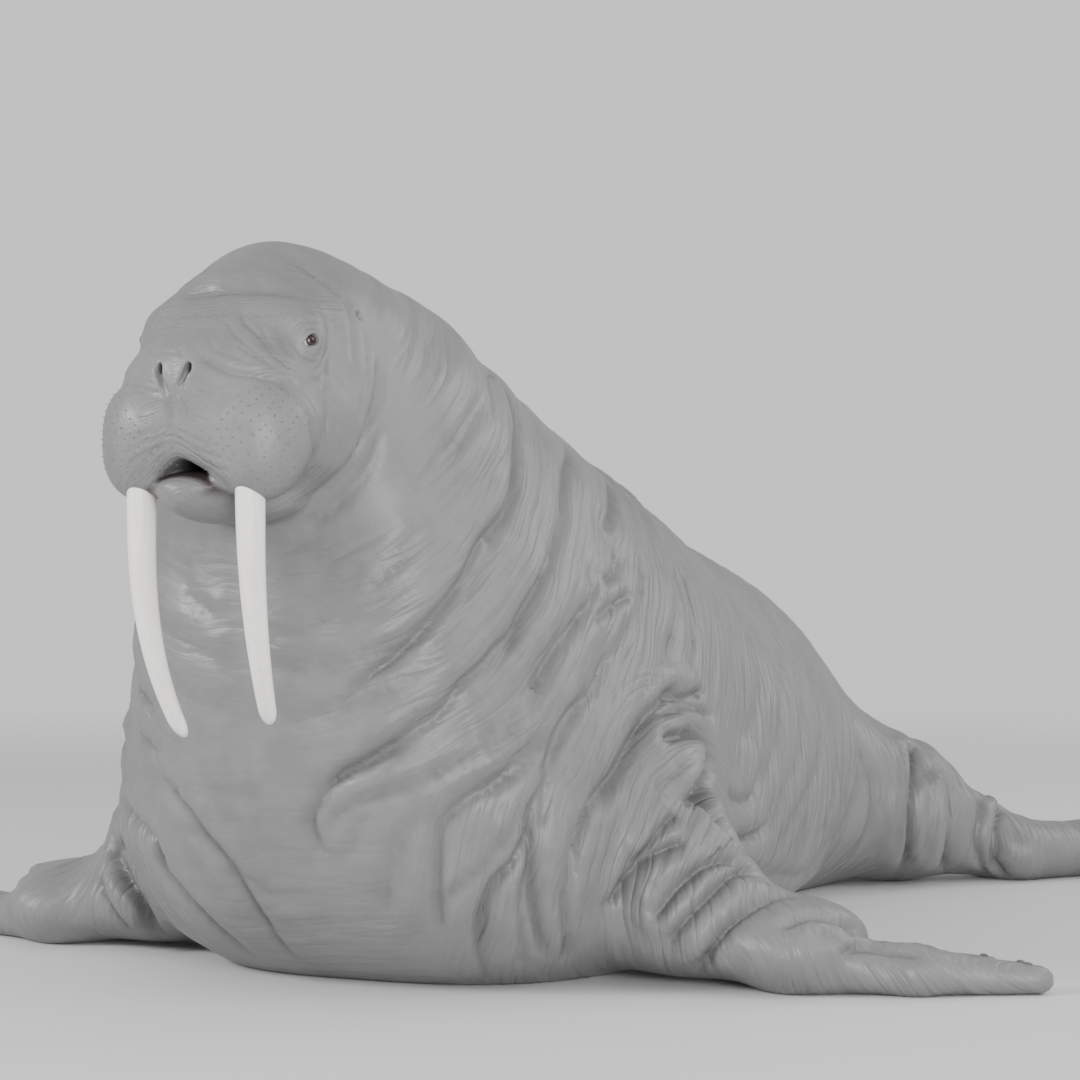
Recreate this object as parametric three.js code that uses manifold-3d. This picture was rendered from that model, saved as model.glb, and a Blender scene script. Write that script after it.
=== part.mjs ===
// A life-size bull walrus resting on the ground with its head raised and its flippers spread.
// Millimetres, +Z up. It faces -Y and its left side is +X. The origin is on the floor under the chest,
// midway between the wrists of the front flippers.
//
// The flesh is one smooth field, negative inside and in millimetres, built from body sections, ellipsoids and
// tapered bones. Each part of the body is the stretch of that field between two thin cuts.
import * as THREE from "three";
import { mergeVertices } from "three/addons/utils/BufferGeometryUtils.js";
import Module from "manifold-3d";

const wasm = await Module();
wasm.setup();

// Sections of the trunk from the tail to the head. Each is a slanted ring through a point of the back line and a
// point of the belly line.
const SECTIONS = [
  { backY: 2030, backZ: 190, bellyY: 2030, bellyZ: 30, halfWidth: 80, egg: 0, top: 2.0, below: 2.0 },
  { backY: 1880, backZ: 410, bellyY: 1880, bellyZ: -20, halfWidth: 250, egg: 0.05, top: 2.2, below: 2.3 },
  { backY: 1600, backZ: 604, bellyY: 1600, bellyZ: -40, halfWidth: 400, egg: 0.1, top: 2.3, below: 2.5 },
  { backY: 1300, backZ: 740, bellyY: 1320, bellyZ: -50, halfWidth: 458, egg: 0.13, top: 2.3, below: 2.6 },
  { backY: 1000, backZ: 836, bellyY: 1050, bellyZ: -60, halfWidth: 478, egg: 0.26, top: 2.05, below: 2.6 },
  { backY: 700, backZ: 925, bellyY: 760, bellyZ: -60, halfWidth: 485, egg: 0.27, top: 2.1, below: 2.7 },
  { backY: 430, backZ: 1015, bellyY: 430, bellyZ: -60, halfWidth: 475, egg: 0.3, top: 2.1, below: 2.8 },
  { backY: 220, backZ: 1095, bellyY: 90, bellyZ: -60, halfWidth: 440, egg: 0.3, top: 2.2, below: 3.1 },
  { backY: 50, backZ: 1155, bellyY: -240, bellyZ: 70, halfWidth: 388, egg: 0.3, top: 2.4, below: 3.0 },
  { backY: -100, backZ: 1200, bellyY: -420, bellyZ: 310, halfWidth: 315, egg: 0.14, top: 2.5, below: 2.5 },
  { backY: -220, backZ: 1225, bellyY: -470, bellyZ: 540, halfWidth: 262, egg: 0.1, top: 2.3, below: 2.2 },
  { backY: -320, backZ: 1240, bellyY: -475, bellyZ: 730, halfWidth: 215, egg: 0.05, top: 2.1, below: 2.0 },
  { backY: -430, backZ: 1235, bellyY: -485, bellyZ: 860, halfWidth: 160, egg: 0.0, top: 2.0, below: 2.0 },
];
const RINGS_PER_SECTION = 10;
const TAIL = { centre: [0, 2005, 98], radii: [104, 95, 84] };

// The head, in its own frame: across is towards the animal's left, ahead is towards its nose, and up is 0 at the eyes.
const HEAD = { y: -514, z: 1089 };

const GAP = 0.3;

const clamp = (v, low, high) => Math.min(high, Math.max(low, v));
const mix = (a, b, t) => a + (b - a) * t;
const radians = THREE.MathUtils.degToRad;

// Joins two fields with a fillet of about that width.
function blend(a, b, width) {
  const h = Math.max(width - Math.abs(a - b), 0) / width;
  return Math.min(a, b) - (h * h * width) / 4;
}

// Cuts field b out of field a with a rounded edge.
function carve(a, b, width) {
  return -blend(-a, b, width);
}

function ellipsoid(x, y, z, centre, radii) {
  const px = x - centre[0];
  const py = y - centre[1];
  const pz = z - centre[2];
  const k0 = Math.hypot(px / radii[0], py / radii[1], pz / radii[2]);
  const k1 = Math.hypot(px / radii[0] ** 2, py / radii[1] ** 2, pz / radii[2] ** 2);
  return k1 < 1e-9 ? -Math.min(...radii) : (k0 * (k0 - 1)) / k1;
}

// A bone from a to b whose radius goes from ra to rb, flattened along Z by that factor about its own axis.
function taper(x, y, z, a, b, ra, rb, flat = 1) {
  const bx = b[0] - a[0];
  const by = b[1] - a[1];
  const bz = b[2] - a[2];
  const t = clamp(
    ((x - a[0]) * bx + (y - a[1]) * by + (z - a[2]) * bz) / (bx * bx + by * by + bz * bz),
    0,
    1,
  );
  const dz = (z - a[2] - t * bz) / flat;
  return Math.hypot(x - a[0] - t * bx, y - a[1] - t * by, dz) - mix(ra, rb, t);
}

// Catmull-Rom through the rows of a table of named values.
function along(rows, u) {
  const i = clamp(Math.floor(u), 0, rows.length - 2);
  const t = u - i;
  const row = (k) => rows[clamp(k, 0, rows.length - 1)];
  const made = {};
  for (const key of Object.keys(rows[0])) {
    const [p0, p1, p2, p3] = [row(i - 1)[key], row(i)[key], row(i + 1)[key], row(i + 2)[key]];
    made[key] =
      0.5 * (2 * p1 + (p2 - p0) * t + (2 * p0 - 5 * p1 + 4 * p2 - p3) * t * t + (3 * p1 - p0 - 3 * p2 + p3) * t ** 3);
  }
  return made;
}

function ringAt(u) {
  const s = along(SECTIONS, u);
  const tall = Math.hypot(s.backY - s.bellyY, s.backZ - s.bellyZ);
  const upY = (s.backY - s.bellyY) / tall;
  const upZ = (s.backZ - s.bellyZ) / tall;
  return {
    u,
    y: (s.backY + s.bellyY) / 2,
    z: (s.backZ + s.bellyZ) / 2,
    upY,
    upZ,
    half: tall / 2,
    halfWidth: s.halfWidth,
    egg: s.egg,
    top: s.top,
    below: s.below,
  };
}

const RINGS = [];
for (let i = 0; i <= (SECTIONS.length - 1) * RINGS_PER_SECTION; i++) RINGS.push(ringAt(i / RINGS_PER_SECTION));

// How far a point lies ahead of a ring's plane.
const ahead = (ring, y, z) => -(y - ring.y) * ring.upZ + (z - ring.z) * ring.upY;

function section(ring, x, y, z) {
  const w = (y - ring.y) * ring.upY + (z - ring.z) * ring.upZ;
  const s = w / ring.half;
  const wide = ring.halfWidth * (1 - ring.egg * clamp(s, -1, 1));
  const power = s > 0 ? ring.top : ring.below;
  const f = (Math.abs(x / wide) ** power + Math.abs(s) ** power) ** (1 / power);
  const r = Math.hypot(x, w);
  return f < 1e-3 ? -ring.half : r * (1 - 1 / f);
}

function trunk(x, y, z) {
  let best = Infinity;
  for (let i = 0; i + 1 < RINGS.length; i++) {
    const a = ahead(RINGS[i], y, z);
    const b = ahead(RINGS[i + 1], y, z);
    if (a < 0 || b >= 0) continue;
    const t = a / (a - b);
    const ring = {};
    for (const key of Object.keys(RINGS[i])) ring[key] = mix(RINGS[i][key], RINGS[i + 1][key], t);
    best = Math.min(best, section(ring, x, y, z));
  }
  const first = RINGS[0];
  const last = RINGS[RINGS.length - 1];
  for (const [ring, beyond] of [
    [first, -ahead(first, y, z)],
    [last, ahead(last, y, z)],
  ]) {
    if (beyond < 0 || best < Infinity) continue;
    const d = section(ring, x, y, z);
    best = Math.min(best, d > 0 ? Math.hypot(d, beyond) : Math.max(d, beyond));
  }
  return y > 1700 ? blend(best, ellipsoid(x, y, z, TAIL.centre, TAIL.radii), 40) : best;
}

// The head's own frame, where the nose is towards -y.
const headPlace = new THREE.Matrix4().makeTranslation(0, HEAD.y, HEAD.z);
const inHead = (field) => (x, y, z) => field(x, y - HEAD.y, z - HEAD.z);

function skull(x, y, z) {
  const ax = Math.abs(x);
  let d = ellipsoid(x, y, z, [0, 87, 0], [155, 207, 146]);
  d = blend(d, ellipsoid(x, y, z, [0, -90, -62], [104, 112, 80]), 60);
  d = blend(d, ellipsoid(ax, y, z, [92, -40, 14], [64, 46, 46]), 50);
  d = blend(d, ellipsoid(ax, y, z, [74, -112, -74], [62, 66, 54]), 50);
  d = blend(d, ellipsoid(ax, y, z, [100, 0, -125], [88, 120, 105]), 60);
  d = blend(d, ellipsoid(x, y, z, [0, -160, -74], [58, 52, 46]), 40);
  return blend(d, ellipsoid(ax, y, z, [25, -196, -74], [22, 19, 28]), 14);
}

// The edge of the upper lip is an arch. The mouth is open below it, as far back as its own depth.
const LIP = { across: -12, top: -197, slope: 0.85, round: 14, back: 70 };
function underLip(x, y, z) {
  const edge = LIP.top - LIP.slope * (Math.hypot(x - LIP.across, LIP.round) - LIP.round);
  return Math.max((z - edge) / Math.hypot(1, LIP.slope), y + LIP.back);
}

function pads(x, y, z) {
  const ax = Math.abs(x);
  let d = ellipsoid(ax, y, z, [77, -108, -143], [101, 101, 88]);
  d = blend(d, ellipsoid(ax, y, z, [102, -134, -202], [62, 62, 60]), 40);
  d = blend(d, ellipsoid(x, y, z, [0, -150, -140], [76, 52, 68]), 40);
  return carve(d, underLip(x, y, z), 8);
}

function jaw(x, y, z) {
  let d = ellipsoid(x, y, z, [LIP.across, -104, -253], [58, 92, 38]);
  d = blend(d, ellipsoid(x, y, z, [LIP.across, -126, -242], [72, 72, 24]), 14);
  return blend(d, ellipsoid(x, y, z, [0, 0, -262], [84, 120, 34]), 30);
}

function foreArm(x, y, z) {
  const ax = Math.abs(x);
  const upper = taper(ax, y, z, [340, 125, 320], [510, 130, 145], 190, 142, 0.9);
  const lower = taper(ax, y, z, [520, 130, 106], [700, 126, 74], 156, 130, 0.58);
  return blend(upper, lower, 60);
}

// The bones of a flipper, as places seen from above. Each starts at its root, bends at its knuckle and ends at its tip.
const FORE_DIGITS = [
  { root: [740, 75], knuckle: [935, 122], tip: [1122, 208], thick: [52, 44, 28] },
  { root: [750, 140], knuckle: [920, 232], tip: [1080, 335], thick: [42, 34, 18] },
  { root: [750, 180], knuckle: [880, 290], tip: [995, 410], thick: [38, 30, 16] },
  { root: [740, 210], knuckle: [820, 330], tip: [890, 450], thick: [36, 28, 15] },
  { root: [720, 230], knuckle: [760, 340], tip: [790, 440], thick: [34, 26, 15] },
];
const HIND_DIGITS = [
  { root: [745, 1755], knuckle: [880, 1900], tip: [1050, 1990], thick: [78, 70, 28] },
  { root: [745, 1780], knuckle: [860, 1955], tip: [980, 2070], thick: [62, 44, 20] },
  { root: [735, 1795], knuckle: [815, 1985], tip: [885, 2115], thick: [56, 38, 17] },
  { root: [715, 1800], knuckle: [765, 2000], tip: [790, 2145], thick: [56, 38, 18] },
  { root: [690, 1800], knuckle: [700, 2000], tip: [690, 2165], thick: [60, 46, 24] },
];

function paddle(digits, x, y, z) {
  const ax = Math.abs(x);
  let d = Infinity;
  const rods = [];
  digits.forEach((digit, i) => {
    rods.push(digit);
    const next = digits[i + 1];
    if (!next) return;
    const between = (key, t) => digit[key].map((v, k) => mix(mix(v, next[key][k], 0.5), digit.root[k], t));
    rods.push({
      root: between("root", 0),
      knuckle: between("knuckle", 0),
      tip: between("tip", 0.12),
      thick: digit.thick.map((v, k) => Math.min(v, next.thick[k]) * 0.85),
    });
  });
  for (const rod of rods) {
    const points = ["root", "knuckle", "tip"].map((key, k) => [...rod[key], rod.thick[k] * 0.85]);
    for (let k = 0; k < 2; k++)
      d = blend(d, taper(ax, y, z, points[k], points[k + 1], rod.thick[k] * 1.1, rod.thick[k + 1] * 1.1, 0.8), 30);
  }
  return d;
}

function foreHand(x, y, z) {
  const ax = Math.abs(x);
  const heel = ellipsoid(ax, y, z, [735, 118, 72], [102, 156, 76]);
  return blend(heel, paddle(FORE_DIGITS, x, y, z), 40);
}

function hindLeg(x, y, z) {
  const ax = Math.abs(x);
  const thigh = taper(ax, y, z, [255, 1400, 232], [490, 1600, 172], 236, 158);
  const shin = taper(ax, y, z, [490, 1600, 158], [715, 1768, 76], 142, 74);
  return blend(thigh, shin, 60);
}

const skullField = inHead(skull);
const padsField = inHead(pads);
const jawField = inHead(jaw);
const mouthField = inHead(underLip);

function body(x, y, z) {
  let d = trunk(x, y, z);
  if (y < 0) d = carve(blend(d, skullField(x, y, z), 90), mouthField(x, y, z), 8);
  if (y < 500) {
    d = blend(d, foreArm(x, y, z), 70);
    d = blend(d, foreHand(x, y, z), 40);
  }
  if (y > 900) {
    d = blend(d, hindLeg(x, y, z), 90);
    d = blend(d, paddle(HIND_DIGITS, x, y, z), 40);
  }
  return d;
}

// Walks the field on a box of cells and puts one vertex in each cell that the surface crosses.
// The box may be tilted about X, so that its cells follow the slant of the rings.
function skinOf(field, low, high, cell, tilt = 0) {
  const c = Math.cos(radians(tilt));
  const s = Math.sin(radians(tilt));
  const world = (q) => [q[0], q[1] * c - q[2] * s, q[1] * s + q[2] * c];
  const edge = (q) => Math.max(...q.map((v, k) => Math.max(low[k] + cell[k] - v, v - high[k] + cell[k])));
  const f = (q) => Math.max(field(...world(q)), edge(q));
  const count = low.map((v, k) => Math.ceil((high[k] - v) / cell[k]) + 1);
  const at = (i, j, k) => (i * count[1] + j) * count[2] + k;
  const values = new Float64Array(count[0] * count[1] * count[2]);
  const place = (i, j, k) => [low[0] + i * cell[0], low[1] + j * cell[1], low[2] + k * cell[2]];
  for (let i = 0; i < count[0]; i++)
    for (let j = 0; j < count[1]; j++)
      for (let k = 0; k < count[2]; k++) values[at(i, j, k)] = f(place(i, j, k));
  const vertexOf = new Map();
  const positions = [];
  const corners = [0, 1, 2, 3, 4, 5, 6, 7].map((n) => [n & 1, (n >> 1) & 1, (n >> 2) & 1]);
  for (let i = 0; i + 1 < count[0]; i++)
    for (let j = 0; j + 1 < count[1]; j++)
      for (let k = 0; k + 1 < count[2]; k++) {
        const v = corners.map(([a, b, e]) => values[at(i + a, j + b, k + e)]);
        if (v.every((n) => n < 0) || v.every((n) => n >= 0)) continue;
        let sum = [0, 0, 0];
        let crossings = 0;
        for (let a = 0; a < 8; a++)
          for (const bit of [1, 2, 4]) {
            const b = a | bit;
            if (b === a || v[a] < 0 === v[b] < 0) continue;
            const t = v[a] / (v[a] - v[b]);
            sum = sum.map((n, m) => n + mix(corners[a][m], corners[b][m], t));
            crossings++;
          }
        const q = place(i, j, k).map((n, m) => n + (sum[m] / crossings) * cell[m]);
        vertexOf.set(at(i, j, k), positions.length / 3);
        positions.push(...settle(f, q, cell));
      }
  const faces = [];
  for (let i = 1; i + 1 < count[0]; i++)
    for (let j = 1; j + 1 < count[1]; j++)
      for (let k = 1; k + 1 < count[2]; k++) {
        const here = values[at(i, j, k)] < 0;
        const quads = [
          [values[at(i + 1, j, k)] < 0, [at(i, j - 1, k - 1), at(i, j, k - 1), at(i, j, k), at(i, j - 1, k)]],
          [values[at(i, j + 1, k)] < 0, [at(i - 1, j, k - 1), at(i - 1, j, k), at(i, j, k), at(i, j, k - 1)]],
          [values[at(i, j, k + 1)] < 0, [at(i - 1, j - 1, k), at(i, j - 1, k), at(i, j, k), at(i - 1, j, k)]],
        ];
        for (const [there, cells] of quads) {
          if (here === there) continue;
          const ring = cells.map((n) => vertexOf.get(n));
          if (!here) ring.reverse();
          const point = (n) => new THREE.Vector3().fromArray(positions, ring[n] * 3);
          const first = point(0).distanceTo(point(2)) <= point(1).distanceTo(point(3)) ? 0 : 1;
          const [a, b, e, d] = [0, 1, 2, 3].map((n) => ring[(n + first) % 4]);
          faces.push(a, b, e, a, e, d);
        }
      }
  for (let n = 0; n < positions.length; n += 3) {
    const p = world([positions[n], positions[n + 1], positions[n + 2]]);
    positions.splice(n, 3, ...p);
  }
  return new THREE.BufferGeometry()
    .setAttribute("position", new THREE.Float32BufferAttribute(positions, 3))
    .setIndex(faces);
}

// Moves a point onto the surface in a few short steps down the slope of the field.
function settle(f, q, cell) {
  const probe = 2;
  let p = q;
  for (let step = 0; step < 3; step++) {
    const v = f(p);
    const slope = [0, 1, 2].map((k) => {
      const up = p.slice();
      up[k] += probe;
      const down = p.slice();
      down[k] -= probe;
      return (f(up) - f(down)) / (2 * probe);
    });
    const steep = slope.reduce((n, g) => n + g * g, 0);
    if (steep < 1e-4) break;
    p = p.map((n, k) => clamp(n - (v * slope[k]) / steep, q[k] - cell[k] * 0.45, q[k] + cell[k] * 0.45));
  }
  return p;
}

function solidOf(geometry) {
  const bare = geometry.clone();
  bare.deleteAttribute("normal");
  bare.deleteAttribute("uv");
  const merged = mergeVertices(bare, 1e-3);
  return new wasm.Manifold(
    new wasm.Mesh({
      numProp: 3,
      vertProperties: merged.attributes.position.array,
      triVerts: new Uint32Array(merged.index.array),
    }),
  );
}

function geometryOf(solid) {
  const mesh = solid.getMesh();
  return new THREE.BufferGeometry()
    .setAttribute("position", new THREE.BufferAttribute(mesh.vertProperties, 3))
    .setIndex(new THREE.BufferAttribute(mesh.triVerts, 1));
}

// The same solid on the animal's other side.
function mirrored(solid) {
  const geometry = geometryOf(solid);
  geometry.scale(-1, 1, 1);
  const corners = geometry.index.array;
  for (let i = 0; i < corners.length; i += 3) [corners[i], corners[i + 1]] = [corners[i + 1], corners[i]];
  return solidOf(geometry);
}

// The largest closed surface of a solid.
function largest(solid) {
  const pieces = solid.decompose();
  return pieces.reduce((a, b) => (b.volume() > a.volume() ? b : a));
}

// The same solid with its surface moved outwards, for cutting its neighbour clear of it.
function grown(solid, by = GAP) {
  const geometry = geometryOf(solid);
  geometry.computeVertexNormals();
  const { position, normal } = geometry.attributes;
  for (let i = 0; i < position.count; i++)
    position.setXYZ(
      i,
      position.getX(i) + by * normal.getX(i),
      position.getY(i) + by * normal.getY(i),
      position.getZ(i) + by * normal.getZ(i),
    );
  return solidOf(geometry);
}

// A plane is a unit normal and an offset along it.
function planeThrough(point, direction) {
  const normal = new THREE.Vector3(...direction).normalize();
  return { normal: normal.toArray(), offset: normal.dot(new THREE.Vector3(...point)) };
}
function ringPlane(u) {
  const r = ringAt(u);
  return planeThrough([0, r.y, r.z], [0, -r.upZ, r.upY]);
}
// Keeps the side that the plane's normal points to, or the other, half a gap away from the plane.
const keepFront = (solid, plane) => solid.trimByPlane(plane.normal, plane.offset + GAP / 2);
const keepBack = (solid, plane) =>
  solid.trimByPlane(
    plane.normal.map((n) => -n),
    -plane.offset + GAP / 2,
  );
const FLOOR = planeThrough([0, 0, -GAP / 2], [0, 0, 1]);

// Rounds and rings in the head frame, taken to their place.
function headPiece(geometry, centre, radii = [1, 1, 1], turn = [0, 0, 0]) {
  const place = new THREE.Matrix4().compose(
    new THREE.Vector3(...centre),
    new THREE.Quaternion().setFromEuler(new THREE.Euler(...turn.map(radians))),
    new THREE.Vector3(...radii),
  );
  return solidOf(geometry.clone().applyMatrix4(place).applyMatrix4(headPlace));
}

const SKIN = new THREE.MeshStandardMaterial({ color: 0x96969b, roughness: 0.6 });
const IVORY = new THREE.MeshStandardMaterial({ color: 0xe6e3dc, roughness: 0.35 });
const EYEBALL = new THREE.MeshStandardMaterial({ color: 0xd8d4cc, roughness: 0.15 });

const walrus = new THREE.Group();
function add(name, solid, material = SKIN) {
  const mesh = new THREE.Mesh(geometryOf(largest(solid)), material);
  mesh.name = name;
  walrus.add(mesh);
}

// Tusks: each runs down from inside its pad and curves back and slightly inwards.
const TUSK = { across: 97, ahead: 155, top: -200, lip: -256, side: 22, deep: 27, back: 97, inward: 19 };
const TUSK_LENGTH = { left: 356, right: 380 };
const TUSK_RINGS = 10;
const TUSK_SIDES = 10;
function tusk(side) {
  const sign = side === "left" ? 1 : -1;
  const reach = TUSK_LENGTH[side];
  const positions = [];
  const faces = [];
  for (let i = 0; i <= TUSK_RINGS; i++) {
    const up = mix(TUSK.top, TUSK.lip - reach, i / TUSK_RINGS);
    const t = clamp((TUSK.lip - up) / reach, 0, 1);
    const round = Math.sqrt(Math.max(1 - Math.max((t - 0.93) / 0.075, 0) ** 2, 0.02));
    const size = (1 - 0.42 * t ** 1.3) * round;
    const x = sign * (TUSK.across + 4 * t - (TUSK.inward + 4) * t ** 3);
    const y = -TUSK.ahead + TUSK.back * t ** 2.6;
    for (let k = 0; k < TUSK_SIDES; k++) {
      const a = (2 * Math.PI * k) / TUSK_SIDES;
      positions.push(x + TUSK.side * size * Math.cos(a), y + TUSK.deep * size * Math.sin(a), up);
    }
  }
  const ring = (i, k) => i * TUSK_SIDES + (k % TUSK_SIDES);
  for (let i = 0; i < TUSK_RINGS; i++)
    for (let k = 0; k < TUSK_SIDES; k++) {
      faces.push(ring(i, k), ring(i + 1, k), ring(i + 1, k + 1));
      faces.push(ring(i, k), ring(i + 1, k + 1), ring(i, k + 1));
    }
  for (let k = 1; k + 1 < TUSK_SIDES; k++) {
    faces.push(ring(0, 0), ring(0, k), ring(0, k + 1));
    faces.push(ring(TUSK_RINGS, 0), ring(TUSK_RINGS, k + 1), ring(TUSK_RINGS, k));
  }
  const geometry = new THREE.BufferGeometry()
    .setAttribute("position", new THREE.Float32BufferAttribute(positions, 3))
    .setIndex(faces);
  return solidOf(geometry.applyMatrix4(headPlace));
}

// Where the trunk is parted, as places along SECTIONS, and how far out the limbs begin.
const PARTS = { head: 11.1, neck: 8.7, chest: 5.7, belly: 3.1, rump: 0.9 };
const ROOT = { shoulder: 545, wrist: 702, hip: 475 };

// Eyes look out and forwards. The lids are a rim round each.
const EYE = { across: 138, ahead: 50, up: -10, radius: 19, look: 55, lidWide: 15, lidTall: 13.5, lidThick: 5.5 };
const BALL = new THREE.SphereGeometry(1, 12, 8);
const eyes = {};
const lids = {};
for (const side of ["left", "right"]) {
  const sign = side === "left" ? 1 : -1;
  const centre = [sign * EYE.across, -EYE.ahead, EYE.up];
  eyes[side] = headPiece(BALL, centre, [EYE.radius, EYE.radius, EYE.radius]);
  const out = [Math.sin(radians(EYE.look)) * sign, -Math.cos(radians(EYE.look)), 0];
  const rimCentre = centre.map((v, k) => v + out[k] * 13);
  const rim = new THREE.TorusGeometry(1, EYE.lidThick / EYE.lidWide, 8, 20);
  rim.scale(EYE.lidWide, EYE.lidTall, EYE.lidWide).rotateX(radians(90));
  lids[side] = headPiece(rim, rimCentre, [1, 1, 1], [0, 0, sign * EYE.look]);
}

// Nostrils and the openings of the ears are hollows, and a low rim stands round each ear's.
const NOSE = {
  across: -5,
  hollows: [
    { across: 26, ahead: 208, up: -58, radii: [7.5, 24, 9] },
    { across: 18, ahead: 213, up: -79, radii: [6.5, 12, 16] },
  ],
};
const EAR = { across: 168, ahead: -66, up: 37, depth: 16, radius: 6, rim: 9, rimThick: 4 };

const PAD_CELL = 27;
const HEAD_CELL = 32;
let muzzle = solidOf(skinOf(padsField, [-230, -780, 760], [230, -460, 1090], [PAD_CELL, PAD_CELL, PAD_CELL]));
const tusks = { left: tusk("left"), right: tusk("right") };
const neckPlane = ringPlane(PARTS.head);
let chin = solidOf(skinOf(jawField, [-180, -780, 700], [180, -320, 960], [PAD_CELL, PAD_CELL, PAD_CELL * 0.8]));
chin = keepFront(chin, neckPlane).subtract(grown(muzzle));
let head = solidOf(skinOf(body, [-420, -760, 640], [420, -260, 1300], [HEAD_CELL, HEAD_CELL, HEAD_CELL]));
head = keepFront(head, neckPlane);
for (const side of ["left", "right"]) {
  const sign = side === "left" ? 1 : -1;
  head = head.add(lids[side]).subtract(grown(eyes[side]));
  for (const hollow of NOSE.hollows) {
    const nostril = headPiece(BALL, [NOSE.across + sign * hollow.across, -hollow.ahead, hollow.up], hollow.radii);
    head = head.subtract(nostril);
    muzzle = muzzle.subtract(nostril);
  }
  const ear = [sign * EAR.across, -EAR.ahead, EAR.up];
  const rim = new THREE.TorusGeometry(EAR.rim, EAR.rimThick, 6, 12).rotateY(radians(90));
  head = head.add(headPiece(rim, ear)).subtract(headPiece(BALL, ear, [EAR.depth, EAR.radius, EAR.radius * 1.3]));
  chin = chin.subtract(grown(tusks[side]));
}
head = head.subtract(grown(muzzle)).subtract(grown(chin));
const middle = planeThrough([0, 0, 0], [1, 0, 0]);

add("head", head);
add("muzzle_left", keepFront(muzzle, middle).subtract(grown(tusks.left)));
add("muzzle_right", keepBack(muzzle, middle).subtract(grown(tusks.right)));
add("lower_jaw", chin);
for (const side of ["left", "right"]) {
  add(`tusk_${side}`, tusks[side], IVORY);
  add(`eye_${side}`, eyes[side], EYEBALL);
}

// The trunk is one skin, parted by the planes of its rings and by upright planes at the roots of the limbs.
const TRUNK_CELL = 78;
let trunkSolid = solidOf(
  skinOf(body, [-760, -760, -180], [760, 2280, 1360], [TRUNK_CELL, TRUNK_CELL, TRUNK_CELL]),
);
trunkSolid = keepFront(trunkSolid, FLOOR);
trunkSolid = keepBack(trunkSolid, neckPlane);
function slice(solid, frontPlane, rearPlane) {
  let made = solid;
  if (frontPlane) made = keepBack(made, frontPlane);
  if (rearPlane) made = keepFront(made, rearPlane);
  return made;
}
function betweenRoots(solid, across) {
  return keepBack(keepFront(solid, planeThrough([-across, 0, 0], [1, 0, 0])), planeThrough([across, 0, 0], [1, 0, 0]));
}
add("neck", slice(trunkSolid, null, ringPlane(PARTS.neck)));
const chest = slice(trunkSolid, ringPlane(PARTS.neck), ringPlane(PARTS.chest));
add("chest", betweenRoots(chest, ROOT.shoulder));
add("belly", betweenRoots(slice(trunkSolid, ringPlane(PARTS.chest), ringPlane(PARTS.belly)), ROOT.shoulder));
add("rump", betweenRoots(slice(trunkSolid, ringPlane(PARTS.belly), ringPlane(PARTS.rump)), ROOT.hip));
add("tail", betweenRoots(slice(trunkSolid, ringPlane(PARTS.rump), null), ROOT.hip));

// The limbs of the left side, and their mirror images. Planes are a place and a direction seen from above.
const LIMB_CELL = { arm: [42, 42, 42], hand: [36, 36, 22], leg: [52, 52, 48], foot: [42, 42, 24] };
const limbBox = (low, high, cell) => keepFront(solidOf(skinOf(body, low, high, cell)), FLOOR);
const upright = (point, direction) => planeThrough([...point, 0], [...direction, 0]);
const shoulder = upright([ROOT.shoulder, 0], [1, 0]);
const wrist = upright([ROOT.wrist, 0], [1, 0]);
const hip = upright([ROOT.hip, 0], [1, 0]);
const ankle = upright([712, 1762], [0.67, 0.74]);
const foreLimb = limbBox([470, -140, -80], [780, 520, 520], LIMB_CELL.arm);
const foreHandBox = limbBox([640, -140, -80], [1230, 560, 300], LIMB_CELL.hand);
const hindLimb = limbBox([390, 1250, -80], [1000, 2000, 560], LIMB_CELL.leg);
const hindFootBox = limbBox([540, 1640, -80], [1150, 2260, 320], LIMB_CELL.foot);
const limbs = {
  forearm: keepBack(keepFront(foreLimb, shoulder), wrist),
  fore_flipper: keepFront(foreHandBox, wrist),
  hind_leg: keepBack(keepFront(hindLimb, hip), ankle),
  hind_flipper: keepFront(keepFront(hindFootBox, hip), ankle),
};
for (const [name, solid] of Object.entries(limbs)) {
  add(`${name}_left`, solid);
  add(`${name}_right`, mirrored(solid));
}

export default walrus;
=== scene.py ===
# A life-size bull walrus, resting on the floor with its head raised and its flippers spread.
# The skin is one mesh round a smooth field of body sections, rounds and tapered bones, as the solids are.
# The field and its folds are worked out in millimetres, +Z up, facing -Y. Meshes are made in metres.
import math
from itertools import product

import bmesh
import bpy
import numpy as np
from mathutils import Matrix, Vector
from mathutils.kdtree import KDTree


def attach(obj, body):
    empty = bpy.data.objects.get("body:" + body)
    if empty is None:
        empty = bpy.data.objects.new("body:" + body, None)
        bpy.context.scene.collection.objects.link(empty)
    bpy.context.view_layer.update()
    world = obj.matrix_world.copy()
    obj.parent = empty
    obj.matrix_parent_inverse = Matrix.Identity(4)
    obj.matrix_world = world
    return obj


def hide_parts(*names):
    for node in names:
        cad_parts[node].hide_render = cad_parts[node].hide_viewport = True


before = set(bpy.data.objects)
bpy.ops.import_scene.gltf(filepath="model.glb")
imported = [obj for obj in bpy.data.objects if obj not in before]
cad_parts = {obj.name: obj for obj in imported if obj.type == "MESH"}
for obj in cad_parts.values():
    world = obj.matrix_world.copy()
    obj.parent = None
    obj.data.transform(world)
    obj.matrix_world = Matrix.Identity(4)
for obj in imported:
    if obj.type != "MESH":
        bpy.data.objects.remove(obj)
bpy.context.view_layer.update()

MM = 0.001
FLESH = ["head", "muzzle_left", "muzzle_right", "lower_jaw", "neck", "chest", "belly", "rump", "tail"]
for limb in ("forearm", "fore_flipper", "hind_leg", "hind_flipper"):
    FLESH += [limb + "_left", limb + "_right"]

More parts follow.
